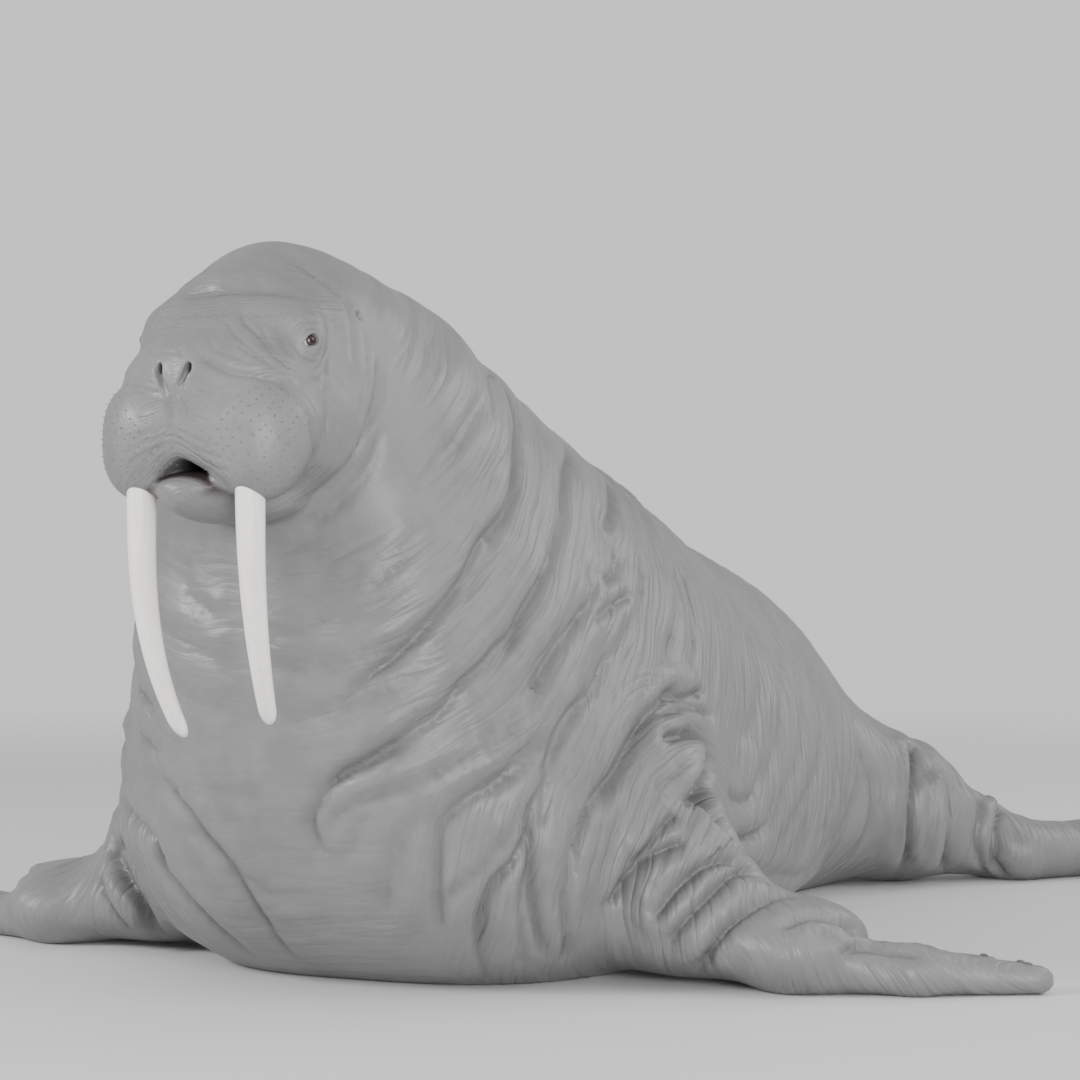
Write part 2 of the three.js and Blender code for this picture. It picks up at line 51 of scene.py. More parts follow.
# Camera, in millimetres and degrees. The picture is square.
CAMERA = {"place": (2071, -4178, 745), "azimuth": 23.0, "pitch": 0.31, "focal": 2600, "picture": 1080}
SENSOR = 36.0

# Sections of the trunk from the tail to the head. Each is a slanted ring through a point of the back line
# and a point of the belly line.
SECTIONS = [
    dict(back_y=2030, back_z=190, belly_y=2030, belly_z=30, wide=80, egg=0, top=2.0, below=2.0),
    dict(back_y=1880, back_z=410, belly_y=1880, belly_z=-20, wide=250, egg=0.05, top=2.2, below=2.3),
    dict(back_y=1600, back_z=604, belly_y=1600, belly_z=-40, wide=400, egg=0.1, top=2.3, below=2.5),
    dict(back_y=1300, back_z=740, belly_y=1320, belly_z=-50, wide=458, egg=0.13, top=2.3, below=2.6),
    dict(back_y=1000, back_z=836, belly_y=1050, belly_z=-60, wide=478, egg=0.26, top=2.05, below=2.6),
    dict(back_y=700, back_z=925, belly_y=760, belly_z=-60, wide=485, egg=0.27, top=2.1, below=2.7),
    dict(back_y=430, back_z=1015, belly_y=430, belly_z=-60, wide=475, egg=0.3, top=2.1, below=2.8),
    dict(back_y=220, back_z=1095, belly_y=90, belly_z=-60, wide=440, egg=0.3, top=2.2, below=3.1),
    dict(back_y=50, back_z=1155, belly_y=-240, belly_z=70, wide=388, egg=0.3, top=2.4, below=3.0),
    dict(back_y=-100, back_z=1200, belly_y=-420, belly_z=310, wide=315, egg=0.14, top=2.5, below=2.5),
    dict(back_y=-220, back_z=1225, belly_y=-470, belly_z=540, wide=262, egg=0.1, top=2.3, below=2.2),
    dict(back_y=-320, back_z=1240, belly_y=-475, belly_z=730, wide=215, egg=0.05, top=2.1, below=2.0),
    dict(back_y=-430, back_z=1235, belly_y=-485, belly_z=860, wide=160, egg=0.0, top=2.0, below=2.0),
]
SECTION_KEYS = list(SECTIONS[0])
SECTION_TABLE = np.array([[row[key] for key in SECTION_KEYS] for row in SECTIONS], float)
LAST = len(SECTIONS) - 1
RINGS_PER_SECTION = 10
TAIL = {"centre": (0, 2005, 98), "radii": (104, 95, 84)}

# The head, in its own frame: across is towards the left, ahead is -y, and up is 0 at the eyes.
HEAD = np.array([0, -514, 1089], float)
LIP = {"across": -12, "top": -197, "slope": 0.85, "round": 14, "back": 70}
NOSE = {"across": -5}
EYE = {"across": 138, "ahead": 50, "up": -10, "radius": 19, "look": 55}
EAR = {"across": 168, "ahead": -66, "up": 37}
JAW_FILLET = {"front": 5, "corner": 22, "rear": 75}
TUSK = {"across": 97, "ahead": 155, "top": -200, "lip": -256, "side": 22, "deep": 27, "back": 97,
        "inward": 19, "flare": 4, "slim": 0.42, "tip": 0.93}
TUSK_LENGTH = {"left": 356, "right": 380}

FORE_DIGITS = [
    dict(root=(740, 75), knuckle=(935, 122), tip=(1122, 208), thick=(52, 44, 28)),
    dict(root=(750, 140), knuckle=(920, 232), tip=(1080, 335), thick=(42, 34, 18)),
    dict(root=(750, 180), knuckle=(880, 290), tip=(995, 410), thick=(38, 30, 16)),
    dict(root=(740, 210), knuckle=(820, 330), tip=(890, 450), thick=(36, 28, 15)),
    dict(root=(720, 230), knuckle=(760, 340), tip=(790, 440), thick=(34, 26, 15)),
]
HIND_DIGITS = [
    dict(root=(745, 1755), knuckle=(880, 1900), tip=(1050, 1990), thick=(78, 70, 28)),
    dict(root=(745, 1780), knuckle=(860, 1955), tip=(980, 2070), thick=(62, 44, 20)),
    dict(root=(735, 1795), knuckle=(815, 1985), tip=(885, 2115), thick=(56, 38, 17)),
    dict(root=(715, 1800), knuckle=(765, 2000), tip=(790, 2145), thick=(56, 38, 18)),
    dict(root=(690, 1800), knuckle=(700, 2000), tip=(690, 2165), thick=(60, 46, 24)),
]


# Fields, negative inside.
def clamp(v, low, high):
    return np.minimum(np.maximum(v, low), high)


def mix(a, b, t):
    return a + (b - a) * t


def smooth(low, high, v):
    t = clamp((v - low) / (high - low), 0, 1)
    return t * t * (3 - 2 * t)


def unit(v):
    return v / np.sqrt((v**2).sum(-1, keepdims=True))


def spline(a, b, c, d, t):
    """Catmull-Rom from b to c."""
    square = (2 * a - 5 * b + 4 * c - d) * t**2
    cube = (3 * b - a - 3 * c + d) * t**3
    return 0.5 * (2 * b + (c - a) * t + square + cube)


def blend(a, b, width):
    """Joins two fields with a fillet of about that width."""
    h = np.maximum(width - np.abs(a - b), 0) / width
    return np.minimum(a, b) - h * h * width / 4


def carve(a, b, width):
    """Cuts field b out of field a with a rounded edge."""
    return -blend(-a, b, width)


def ellipsoid(p, centre, radii):
    q = p - np.array(centre, float)
    r = np.array(radii, float)
    k0 = np.sqrt(((q / r) ** 2).sum(-1))
    k1 = np.sqrt(((q / r**2) ** 2).sum(-1))
    return np.where(k1 < 1e-9, -r.min(), k0 * (k0 - 1) / np.maximum(k1, 1e-9))


def taper(p, a, b, ra, rb, flat=1.0):
    """A bone from a to b whose radius goes from ra to rb, flattened along Z about its own axis."""
    a = np.array(a, float)
    b = np.array(b, float)
    t = clamp(((p - a) @ (b - a)) / ((b - a) @ (b - a)), 0, 1)
    q = p - a - t[:, None] * (b - a)
    return np.sqrt(q[:, 0] ** 2 + q[:, 1] ** 2 + (q[:, 2] / flat) ** 2) - mix(ra, rb, t)


def sections(u):
    """Catmull-Rom through the rows of SECTIONS, as a dict of arrays."""
    u = clamp(np.asarray(u, float), 0, LAST)
    i = np.minimum(u.astype(int), LAST - 1)
    t = (u - i)[:, None]
    rows = spline(*(SECTION_TABLE[clamp(i + k, 0, LAST)] for k in (-1, 0, 1, 2)), t)
    made = dict(zip(SECTION_KEYS, rows.T))
    tall = np.hypot(made["back_y"] - made["belly_y"], made["back_z"] - made["belly_z"])
    made["up_y"] = (made["back_y"] - made["belly_y"]) / tall
    made["up_z"] = (made["back_z"] - made["belly_z"]) / tall
    made["y"] = (made["back_y"] + made["belly_y"]) / 2
    made["z"] = (made["back_z"] + made["belly_z"]) / 2
    made["half"] = tall / 2
    return made


RINGS = sections(np.arange(LAST * RINGS_PER_SECTION + 1) / RINGS_PER_SECTION)
RING_STEP = 10
RING_LOW = np.array([-900.0, -300.0])
RING_COUNT = np.array([340, 180])


def in_ring(ring, y, z):
    """How far a place is up along a ring's plane, and how far off the plane."""
    off_y, off_z = y - ring["y"], z - ring["z"]
    return off_y * ring["up_y"] + off_z * ring["up_z"], -off_y * ring["up_z"] + off_z * ring["up_y"]


def ring_map():
    """For each place on a side view, which ring's plane passes through it."""
    y, z = np.meshgrid(*(RING_LOW[k] + RING_STEP * np.arange(RING_COUNT[k]) for k in (0, 1)), indexing="ij")
    found = np.full(y.shape, np.nan)
    nearest = np.full(y.shape, np.inf)
    rings = [{key: values[i] for key, values in RINGS.items()} for i in range(len(RINGS["y"]))]
    up, front = zip(*(in_ring(ring, y, z) for ring in rings))
    for i in range(len(rings) - 1):
        a, b = front[i], front[i + 1]
        here = (a >= 0) & (b < 0)
        off = np.abs(up[i]) / rings[i]["half"]
        here &= off < nearest
        t = a / np.where(a == b, 1, a - b)
        found = np.where(here, (i + t) / RINGS_PER_SECTION, found)
        nearest = np.where(here, off, nearest)
    lost = np.isnan(found)
    return np.where(lost, np.where(front[0] < 0, 0.0, float(LAST)), found)


RING_MAP = ring_map()


def ring_of(p):
    q = clamp((p[:, 1:3] - RING_LOW) / RING_STEP, 0, RING_COUNT - 1.001)
    i = q.astype(int)
    f = q - i
    a, b = RING_MAP[i[:, 0], i[:, 1]], RING_MAP[i[:, 0] + 1, i[:, 1]]
    c, d = RING_MAP[i[:, 0], i[:, 1] + 1], RING_MAP[i[:, 0] + 1, i[:, 1] + 1]
    return mix(mix(a, b, f[:, 0]), mix(c, d, f[:, 0]), f[:, 1])


def trunk(p):
    u = ring_of(p)
    s = sections(u)
    w, ahead = in_ring(s, p[:, 1], p[:, 2])
    beyond = np.where((u <= 0) | (u >= LAST), np.abs(ahead), 0)
    rise = w / s["half"]
    wide = s["wide"] * (1 - s["egg"] * clamp(rise, -1, 1))
    power = np.where(rise > 0, s["top"], s["below"])
    f = (np.abs(p[:, 0] / wide) ** power + np.abs(rise) ** power) ** (1 / power)
    d = np.where(f < 1e-3, -s["half"], np.hypot(p[:, 0], w) * (1 - 1 / np.maximum(f, 1e-3)))
    d = np.where(beyond > 0, np.where(d > 0, np.hypot(d, beyond), np.maximum(d, beyond)), d)
    return np.where(p[:, 1] > 1700, blend(d, ellipsoid(p, TAIL["centre"], TAIL["radii"]), 40), d)


def mirrored(p):
    """Places of the right side brought over to the left."""
    s = p.copy()
    s[:, 0] = np.abs(s[:, 0])
    return s


def grown(d, rounds):
    """A field with rounds joined on in turn. Each has its places, centre, radii and fillet."""
    for p, centre, radii, fillet in rounds:
        d = blend(d, ellipsoid(p, centre, radii), fillet)
    return d


def skull(q):
    s = mirrored(q)
    return grown(ellipsoid(q, (0, 87, 0), (155, 207, 146)), [
        (q, (0, -90, -62), (104, 112, 80), 60),
        (s, (92, -40, 14), (64, 46, 46), 50),
        (s, (74, -112, -74), (62, 66, 54), 50),
        (s, (100, 0, -125), (88, 120, 105), 60),
        (q, (0, -160, -74), (58, 52, 46), 40),
        (s, (25, -196, -74), (22, 19, 28), 14),
    ])


def pads(q):
    s = mirrored(q)
    return grown(ellipsoid(s, (77, -108, -143), (101, 101, 88)), [
        (s, (102, -134, -202), (62, 62, 60), 40),
        (q, (0, -150, -140), (76, 52, 68), 40),
    ])


def lip_arch(q):
    """Negative below the edge of the upper lip, in the mouth."""
    edge = LIP["top"] - LIP["slope"] * (np.hypot(q[:, 0] - LIP["across"], LIP["round"]) - LIP["round"])
    return np.maximum((q[:, 2] - edge) / math.hypot(1, LIP["slope"]), q[:, 1] + LIP["back"])


def jaw(q):
    return grown(ellipsoid(q, (LIP["across"], -104, -253), (58, 92, 38)), [
        (q, (LIP["across"], -126, -242), (72, 72, 24), 14),
        (q, (0, 0, -262), (84, 120, 34), 30),
    ])


def eye_frame(q):
    """Places from the left eye: beside it, above it and out along its look. The right eye is mirrored."""
    side = np.abs(q[:, 0]) - EYE["across"]
    ahead = -q[:, 1] - EYE["ahead"]
    look = math.radians(EYE["look"])
    out = side * math.sin(look) + ahead * math.cos(look)
    along = -side * math.cos(look) + ahead * math.sin(look)
    return np.stack([along, q[:, 2] - EYE["up"], out], -1)


def lids(q, d):
    e = eye_frame(q)
    d = blend(d, ellipsoid(e, (0, 0, -1), (26, 24, 24)), 16)
    d = carve(d, ellipsoid(e, (-1, 1, 21), (10.5, 9.5, 9)), 4)
    return carve(d, ellipsoid(e, (7, -4, 20), (7, 5, 8)), 4)


def nostrils(q, d):
    s = mirrored(q - [NOSE["across"], 0, 0])
    d = carve(d, ellipsoid(s, (26, -208, -58), (6.2, 20, 8)), 5)
    return carve(d, taper(s, (25, -212, -64), (11, -219, -93), 6.2, 4.0), 6)


def ears(q, d):
    s = mirrored(q)
    centre = np.array([EAR["across"], -EAR["ahead"], EAR["up"]], float)
    d = blend(d, ellipsoid(s, centre - [6, 0, 0], (11, 11, 13)), 12)
    return carve(d, ellipsoid(s, centre + [2, 0, 0], (18, 5, 7.5)), 3)


def head_parts(p, d):
    """The head grown onto the neck."""
    q = p - HEAD
    d = blend(d, skull(q), 90)
    across = np.abs(q[:, 0])
    d = blend(d, pads(q), mix(46, 12, smooth(50, 135, across)))
    d = carve(d, lip_arch(q), 8)
    aside = smooth(28, 55, np.abs(q[:, 0] - LIP["across"]))
    corner = mix(JAW_FILLET["front"], JAW_FILLET["corner"], aside)
    d = blend(d, jaw(q), mix(JAW_FILLET["rear"], corner, smooth(10, 100, -q[:, 1])))
    return ears(q, nostrils(q, lids(q, d)))


def fore_arm(s):
    upper = taper(s, (340, 125, 320), (510, 130, 145), 190, 142, 0.9)
    lower = taper(s, (520, 130, 106), (700, 126, 74), 156, 130, 0.58)
    return blend(upper, lower, 60)


DIGIT = {"height": 0.85, "plump": 1.1, "flat": 0.8, "fillet": 30}
WEB = {"short": 0.12, "thin": 0.85}
NOWHERE_NEAR = 1e4


def rods_of(digits):
    """The digits of a flipper and the webs between them."""
    digits = [{key: np.array(value, float) for key, value in digit.items()} for digit in digits]
    rods = []
    for digit, after in zip(digits, digits[1:]):
        web = {key: (digit[key] + after[key]) / 2 for key in ("root", "knuckle", "tip")}
        web["tip"] = mix(web["tip"], digit["root"], WEB["short"])
        web["thick"] = np.minimum(digit["thick"], after["thick"]) * WEB["thin"]
        rods += [digit, web]
    return rods + digits[-1:]


def paddle(rods, s):
    d = np.full(len(s), NOWHERE_NEAR)
    for rod in rods:
        high = rod["thick"] * DIGIT["height"]
        joints = [(*rod[key], high[k]) for k, key in enumerate(("root", "knuckle", "tip"))]
        for k in (0, 1):
            thick = rod["thick"][k : k + 2] * DIGIT["plump"]
            bone = taper(s, joints[k], joints[k + 1], *thick, DIGIT["flat"])
            d = blend(d, bone, DIGIT["fillet"])
    return d


FORE_RODS = rods_of(FORE_DIGITS)
HIND_RODS = rods_of(HIND_DIGITS)


def fore_hand(s):
    heel = ellipsoid(s, (735, 118, 72), (102, 156, 76))
    return blend(heel, paddle(FORE_RODS, s), 40)


def hind_leg(s):
    thigh = taper(s, (255, 1400, 232), (490, 1600, 172), 236, 158)
    shin = taper(s, (490, 1600, 158), (715, 1768, 76), 142, 74)
    return blend(thigh, shin, 60)


def where(d, near, change):
    """Applies a change only to the points where it can matter."""
    if near.any():
        d = d.copy()
        d[near] = change(near, d[near])
    return d


def flesh(p):
    """The whole body with no folds, before the floor cuts it."""
    s = mirrored(p)
    x, y, z = s.T
    d = trunk(p)
    d = where(d, (y < -100) & (z > 650), lambda n, v: head_parts(p[n], v))
    d = where(d, (y > -250) & (y < 600) & (x > 60) & (z < 700), lambda n, v: blend(v, fore_arm(s[n]), 70))
    d = where(d, (y > -150) & (y < 600) & (x > 580) & (z < 260), lambda n, v: blend(v, fore_hand(s[n]), 40))
    d = where(d, (y > 1000) & (y < 2100) & (z < 650), lambda n, v: blend(v, hind_leg(s[n]), 90))
    return where(d, (y > 1600) & (x > 500) & (z < 260), lambda n, v: blend(v, paddle(HIND_RODS, s[n]), 40))


def solid(p):
    return np.maximum(flesh(p), -p[:, 2])


# The mesh of the skin. Cells are counted in a space where the surroundings of the head are magnified, so that
# they are finest there and grow coarser towards the tail.
LENS = {"centre": np.array([0, -600, 1010], float), "finest": 0.43, "inner": 470, "outer": 900}
CELL = 17.3
BLOCK = 6
BATCH = 400
FAR_OFF = 1e3
ROOM = ((-1260, 1261), (-780, 2281), (0, 1321))
LENS_STEP = 4.0
LENS_REACH = np.arange(0, 6000, LENS_STEP)
LENS_SLOPE = mix(LENS["finest"], 1, smooth(LENS["inner"], LENS["outer"], LENS_REACH))
LENS_TABLE = np.concatenate([[0], np.cumsum((LENS_SLOPE[1:] + LENS_SLOPE[:-1]) / 2 * LENS_STEP)])


def rescaled(p, reach, table):
    off = p - LENS["centre"]
    r = np.sqrt((off**2).sum(-1))
    scale = np.interp(r, reach, table) / np.maximum(r, 1e-6)
    return LENS["centre"] + off * scale[:, None]


def from_lens(q):
    return rescaled(q, LENS_REACH, LENS_TABLE)


def into_lens(p):
    return rescaled(p, LENS_TABLE, LENS_REACH)


def field_grid(field, low, high):
    """Field values on the grid, exact near the surface and only the right sign elsewhere."""
    blocks = np.ceil((high - low) / (CELL * BLOCK)).astype(int)
    count = blocks * BLOCK + 1
    axes = [low[k] + CELL * BLOCK * np.arange(blocks[k] + 1) for k in range(3)]
    coarse_q = np.stack(np.meshgrid(*axes, indexing="ij"), -1).reshape(-1, 3)
    coarse_p = from_lens(coarse_q)
    coarse = field(coarse_p)
    local = np.sqrt(((coarse_p - LENS["centre"]) ** 2).sum(-1)) / np.sqrt(
        np.maximum(((coarse_q - LENS["centre"]) ** 2).sum(-1), 1)
    )
    reach = 26 + 0.95 * CELL * BLOCK * clamp(local * 1.5, 0.45, 1)
    close = (np.abs(coarse) < reach).reshape(blocks + 1)
    active = np.zeros(blocks, bool)
    for a, b, c in product((0, 1), repeat=3):
        active |= close[a : a + blocks[0], b : b + blocks[1], c : c + blocks[2]]
    coarse = coarse.reshape(blocks + 1)
    values = np.empty(count, np.float32)
    sign = np.where(coarse < 0, -FAR_OFF, FAR_OFF).astype(np.float32)
    rough = sign[:-1, :-1, :-1]
    values[:] = FAR_OFF
    values[:-1, :-1, :-1] = np.repeat(np.repeat(np.repeat(rough, BLOCK, 0), BLOCK, 1), BLOCK, 2)
    inner = np.stack(np.meshgrid(*[np.arange(BLOCK + 1)] * 3, indexing="ij"), -1).reshape(-1, 3)
    cells = np.argwhere(active)
    for start in range(0, len(cells), BATCH):
        spots = (cells[start : start + BATCH, None] * BLOCK + inner[None]).reshape(-1, 3)
        exact = field(from_lens(low + CELL * spots))
        values[spots[:, 0], spots[:, 1], spots[:, 2]] = exact
    return values


def nets(values, low):
    """One vertex in each cell that the surface crosses, and a quad across each grid edge that it crosses."""
    inside = values < 0
    shape = np.array(values.shape) - 1
    count = np.zeros(shape, np.uint8)
    for a, b, c in product((0, 1), repeat=3):
        count += inside[a : a + shape[0], b : b + shape[1], c : c + shape[2]]
    flat = np.flatnonzero((count > 0) & (count < 8))
    cell = np.stack(np.unravel_index(flat, shape), -1)
    corners = np.array(list(product((0, 1), repeat=3)))
    at = cell[:, None] + corners[None]
    v = values[at[..., 0], at[..., 1], at[..., 2]]
    total = np.zeros((len(cell), 3))
    crossings = np.zeros(len(cell))
    for a in range(8):
        for bit in (4, 2, 1):
            b = a | bit
            if a == b:
                continue
            cross = (v[:, a] < 0) != (v[:, b] < 0)
            t = np.where(cross, v[:, a] / np.where(cross, v[:, a] - v[:, b], 1), 0)
            total += np.where(cross[:, None], corners[a] + t[:, None] * (corners[b] - corners[a]), 0)
            crossings += cross
    points = low + CELL * (cell + total / crossings[:, None])
    quads = []
    for axis in range(3):
        u, w = (axis + 1) % 3, (axis + 2) % 3
        here = inside.take(range(0, values.shape[axis] - 1), axis)
        there = inside.take(range(1, values.shape[axis]), axis)
        spot = np.argwhere(here != there)
        ok = (spot[:, u] > 0) & (spot[:, w] > 0) & (spot[:, u] < shape[u]) & (spot[:, w] < shape[w])
        spot = spot[ok]
        starts_inside = inside[spot[:, 0], spot[:, 1], spot[:, 2]]
        ring = []
        for du, dw in ((1, 1), (0, 1), (0, 0), (1, 0)):
            around = spot.copy()
            around[:, u] -= du
            around[:, w] -= dw
            ring.append(np.searchsorted(flat, np.ravel_multi_index(around.T, shape)))
        ring = np.stack(ring, -1)
        quads.append(np.where(starts_inside[:, None], ring, ring[:, ::-1]))
    return points, np.concatenate(quads)


def slope_of(field, p, probe=1.0):
    value = field(p)
    slope = np.empty_like(p)
    for k in range(3):
        step = np.zeros(3)
        step[k] = probe
        slope[:, k] = (field(p + step) - field(p - step)) / (2 * probe)
    return value, slope


def settle(field, p, steps=3, limit=8.0):
    """Moves points down the slope of the field onto its surface."""
    for _ in range(steps):
        value, slope = slope_of(field, p)
        steep = np.maximum((slope**2).sum(-1), 0.05)
        move = -slope * (value / steep)[:, None]
        length = np.sqrt((move**2).sum(-1))
        p = p + move * np.minimum(1, limit / np.maximum(length, 1e-9))[:, None]
    return p


def relaxed(p, quads, field, rounds=2):
    """Evens out the spacing of the vertices along the surface."""
    a = quads.ravel()
    b = np.roll(quads, -1, axis=1).ravel()
    both = np.concatenate([a, b]), np.concatenate([b, a])
    weight = np.maximum(np.bincount(both[0], minlength=len(p)), 1)
    for _ in range(rounds):
        mean = np.stack([np.bincount(both[0], p[both[1], k], len(p)) for k in range(3)], -1) / weight[:, None]
        p = settle(field, mix(p, mean, 0.6), 1)
    return p


def in_scene(name, data):
    made = bpy.data.objects.new(name, data)
    bpy.context.scene.collection.objects.link(made)
    return made


def make_object(name, points, faces):
    """A mesh object, from points in millimetres."""
    mesh = bpy.data.meshes.new(name)
    mesh.from_pydata((np.asarray(points) * MM).tolist(), [], [list(f) for f in faces])
    mesh.polygons.foreach_set("use_smooth", [True] * len(mesh.polygons))
    return in_scene(name, mesh)


def reach_of(field):
    """The corners of the flesh in the magnified space."""
    axes = [np.arange(low, high, 40.0) for low, high in ROOM]
    spots = np.stack(np.meshgrid(*axes, indexing="ij"), -1).reshape(-1, 3)
    spots = into_lens(spots[field(spots) < 30])
    return spots.min(0) - 5 * CELL, spots.max(0) + 5 * CELL


# Gradient noise, from a seeded table.
RANDOM = np.random.default_rng(11)
SHUFFLE = RANDOM.permutation(256)
SLOPES = unit(RANDOM.normal(size=(256, 3)))


def noise(q):
    i = np.floor(q).astype(int)
    f = q - i
    w = f * f * f * (f * (f * 6 - 15) + 10)
    total = np.zeros(len(q))
    for corner in product((0, 1), repeat=3):
        c = (i + corner) & 255
        g = SLOPES[SHUFFLE[(SHUFFLE[(SHUFFLE[c[:, 0]] + c[:, 1]) & 255] + c[:, 2]) & 255]]
        total += ((f - corner) * g).sum(-1) * np.prod(np.where(corner, w, 1 - w), -1)
    return total * 1.5


def furrowed(q, sharp=0.05):
    """Round bulges with creases between them, about -0.5 to 1."""
    n = noise(q)
    return 2.4 * np.sqrt(n * n + sharp * sharp) - 0.5


# Folds hang round the trunk. Going down, they lean forwards by this much for each millimetre, less towards
# the tail, and stand upright near the floor.
LEAN = {"front": 1.25, "middle": 1.05, "rear": 0.45, "change": 0.0004, "upright": 150}
FOLD_STEP = 20
FOLD_LABELS = np.arange(-2400, 2600, FOLD_STEP, float)
FOLD_LEANS = clamp(LEAN["middle"] - LEAN["change"] * FOLD_LABELS, LEAN["rear"], LEAN["front"])
FOLD_PLACES = np.cumsum(FOLD_STEP / np.sqrt(1 + FOLD_LEANS**2))
ARM = {"y": 130, "z": 150, "near": 250, "far": 470}


def trunk_lie(p):
    """The first coordinate is the same all along a fold that hangs round the trunk."""
    x, y, z = p.T
    fall = np.hypot(z, LEAN["upright"]) - LEAN["upright"]
    label = (y - LEAN["middle"] * fall) / (1 - LEAN["change"] * fall)
    first, last = ((LEAN["middle"] - LEAN[key]) / LEAN["change"] for key in ("front", "rear"))
    label = np.where(label < first, y - LEAN["front"] * fall, label)
    label = np.where(label > last, y - LEAN["rear"] * fall, label)
    return np.stack([np.interp(label, FOLD_LABELS, FOLD_PLACES), x, z], -1)


def limb_lie(p):
    """The first coordinate runs out along the limb, and in front of an arm sideways across the chest."""
    x, y, z = p.T
    ax = np.abs(x)
    fore = np.stack([ax - 0.9 * np.hypot(y - ARM["y"], z - ARM["z"]), y, z], -1)
    hind = np.stack([0.62 * ax + 0.78 * y, 0.78 * ax - 0.62 * y, z], -1)
    return np.where((y > 800)[:, None], hind, fore)


def limb_share(p):
    """1 where the skin lies as on a limb, 0 where it lies as on the trunk."""
    x, y, z = p.T
    ax = np.abs(x)
    reach = np.hypot(y - ARM["y"], z - ARM["z"])
    fore = np.maximum(smooth(500, 600, ax), smooth(ARM["far"], ARM["near"], reach) * smooth(260, 420, ax))
    fore = np.maximum(fore, smooth(430, 280, z) * smooth(90, 300, ax) * smooth(100, -50, y))
    hind = smooth(430, 560, ax) * smooth(1150, 1350, y)
    return np.where(y > 800, hind, fore * (1 - smooth(500, 700, y)))


def face_lie(q):
    """Places across the fine wrinkles of the face, in millimetres, and how strong the wrinkles are there."""
    s = mirrored(q)
    from_eye = np.sqrt((eye_frame(q) ** 2).sum(-1))
    from_pad = pads(q)
    from_lip = lip_arch(q)
    front = smooth(80, -40, q[:, 1])
    beside_nose = np.hypot(s[:, 0] - 45, q[:, 2] + 88)
    kinds = [
        (from_eye, 1.2 * smooth(80, 40, from_eye)),
        (from_lip, 1.1 * smooth(52, 26, from_lip) * smooth(6, -2, from_pad)),
        (q[:, 2], 1.1 * smooth(15, 45, q[:, 2]) * front),
        (q[:, 2] + 0.35 * s[:, 0], 1.2 * smooth(55, 30, beside_nose) * smooth(-140, -170, q[:, 1])),
        (from_pad, 0.9 * smooth(2, 12, from_pad) * smooth(110, 60, from_pad) * front),
    ]
    places = np.stack([place for place, weight in kinds])
    weights = np.stack([weight for place, weight in kinds])
    order = weights.argsort(0)
    column = np.arange(len(q))
    strongest, next_one = weights[order[-1], column], weights[order[-2], column]
    share = clamp(2.5 * (strongest - next_one), 0, 1)
    return np.stack([places[order[-1], column], q[:, 0], q[:, 2]], -1), share


# The pits that the whiskers grow from, in slanting rows over each pad.
PAD = np.array([77, -108, -143], float)
PIT = {"round": 100, "spacing": 23, "sway": 0.55, "patch": 30}


def pit_sway(q):
    return PIT["sway"] * np.stack([noise(q / PIT["patch"] + 3.3), noise(q / PIT["patch"] + 8.8)], -1)


def pit_lattice(q):
    """A pit lies wherever both coordinates are whole."""
    s = mirrored(q) - PAD
    aside = np.arctan2(s[:, 0], -s[:, 1]) * PIT["round"]
    rise = np.arctan2(s[:, 2], np.hypot(s[:, 0], s[:, 1])) * PIT["round"]
    return np.stack([aside + rise, aside - rise], -1) / PIT["spacing"] + pit_sway(q)


def pit_places(sign):
    """The pits of one pad, as points of the skin, and their places on the unwrapped pad from 0 to 1."""
    count = 9
    whole = np.array(list(product(range(-count, count + 1), repeat=2)), float)
    q = PAD * [sign, 1, 1] + np.zeros((len(whole), 3))
    for _ in range(5):
        near = (whole - pit_sway(q)) * PIT["spacing"] / PIT["round"]
        aside, rise = (near[:, 0] + near[:, 1]) / 2, (near[:, 0] - near[:, 1]) / 2
        ray = np.stack([np.sin(aside) * np.cos(rise), -np.cos(aside) * np.cos(rise), np.sin(rise)], -1)
        q = settle(flesh, HEAD + (PAD + 96 * ray) * [sign, 1, 1], 3) - HEAD
    kept = (np.abs(aside) < 1.5) & (np.abs(rise) < 0.8) & (pad_share(q) > 0.7) & (np.abs(q[:, 0]) > 24)
    spread = np.stack([0.5 + sign * (0.06 + 0.13 * (aside + 1.5)), 0.5 + 0.5 * rise], -1)
    return HEAD + q[kept], spread[kept]


def pad_share(q):
    return smooth(8, -4, pads(q)) * smooth(-90, -150, q[:, 1])


def calm_of(p):
    """Where the skin is drawn smooth: the middle of the chest and the nape. 1 is calm."""
    x, y, z = p.T
    chest = np.exp(-(((x + 30) / 290) ** 2) - ((z - 330) / 270) ** 2) * smooth(50, -120, y)
    nape = 0.5 * smooth(1080, 1200, z) * smooth(100, -200, y)
    return np.maximum(chest, nape)


def folds_of_trunk(p):
    lie = trunk_lie(p)
    x, y, z = p.T
    bent = lie + np.stack([34 * noise(p / 240 + 17.3), 0 * x, 0 * x], -1)
    front = smooth(1000, 500, y)
    side = smooth(60, 240, np.abs(x))
    patchy = clamp(0.85 + 0.9 * noise(p / 330 + 7.7), 0.25, 1.5)
    folds = mix(4.0, 8.5, front * side) * furrowed(bent / [88, 700, 560] + 3.1, 0.05)
    folds += mix(2.2, 3.2, front * side) * furrowed(bent / [44, 420, 380] + 9.7, 0.05)
    folds = patchy * folds + 0.9 * furrowed(bent / [25, 220, 200] + 5.3, 0.05)
    return folds + 5 * noise(p / 210 + 41)


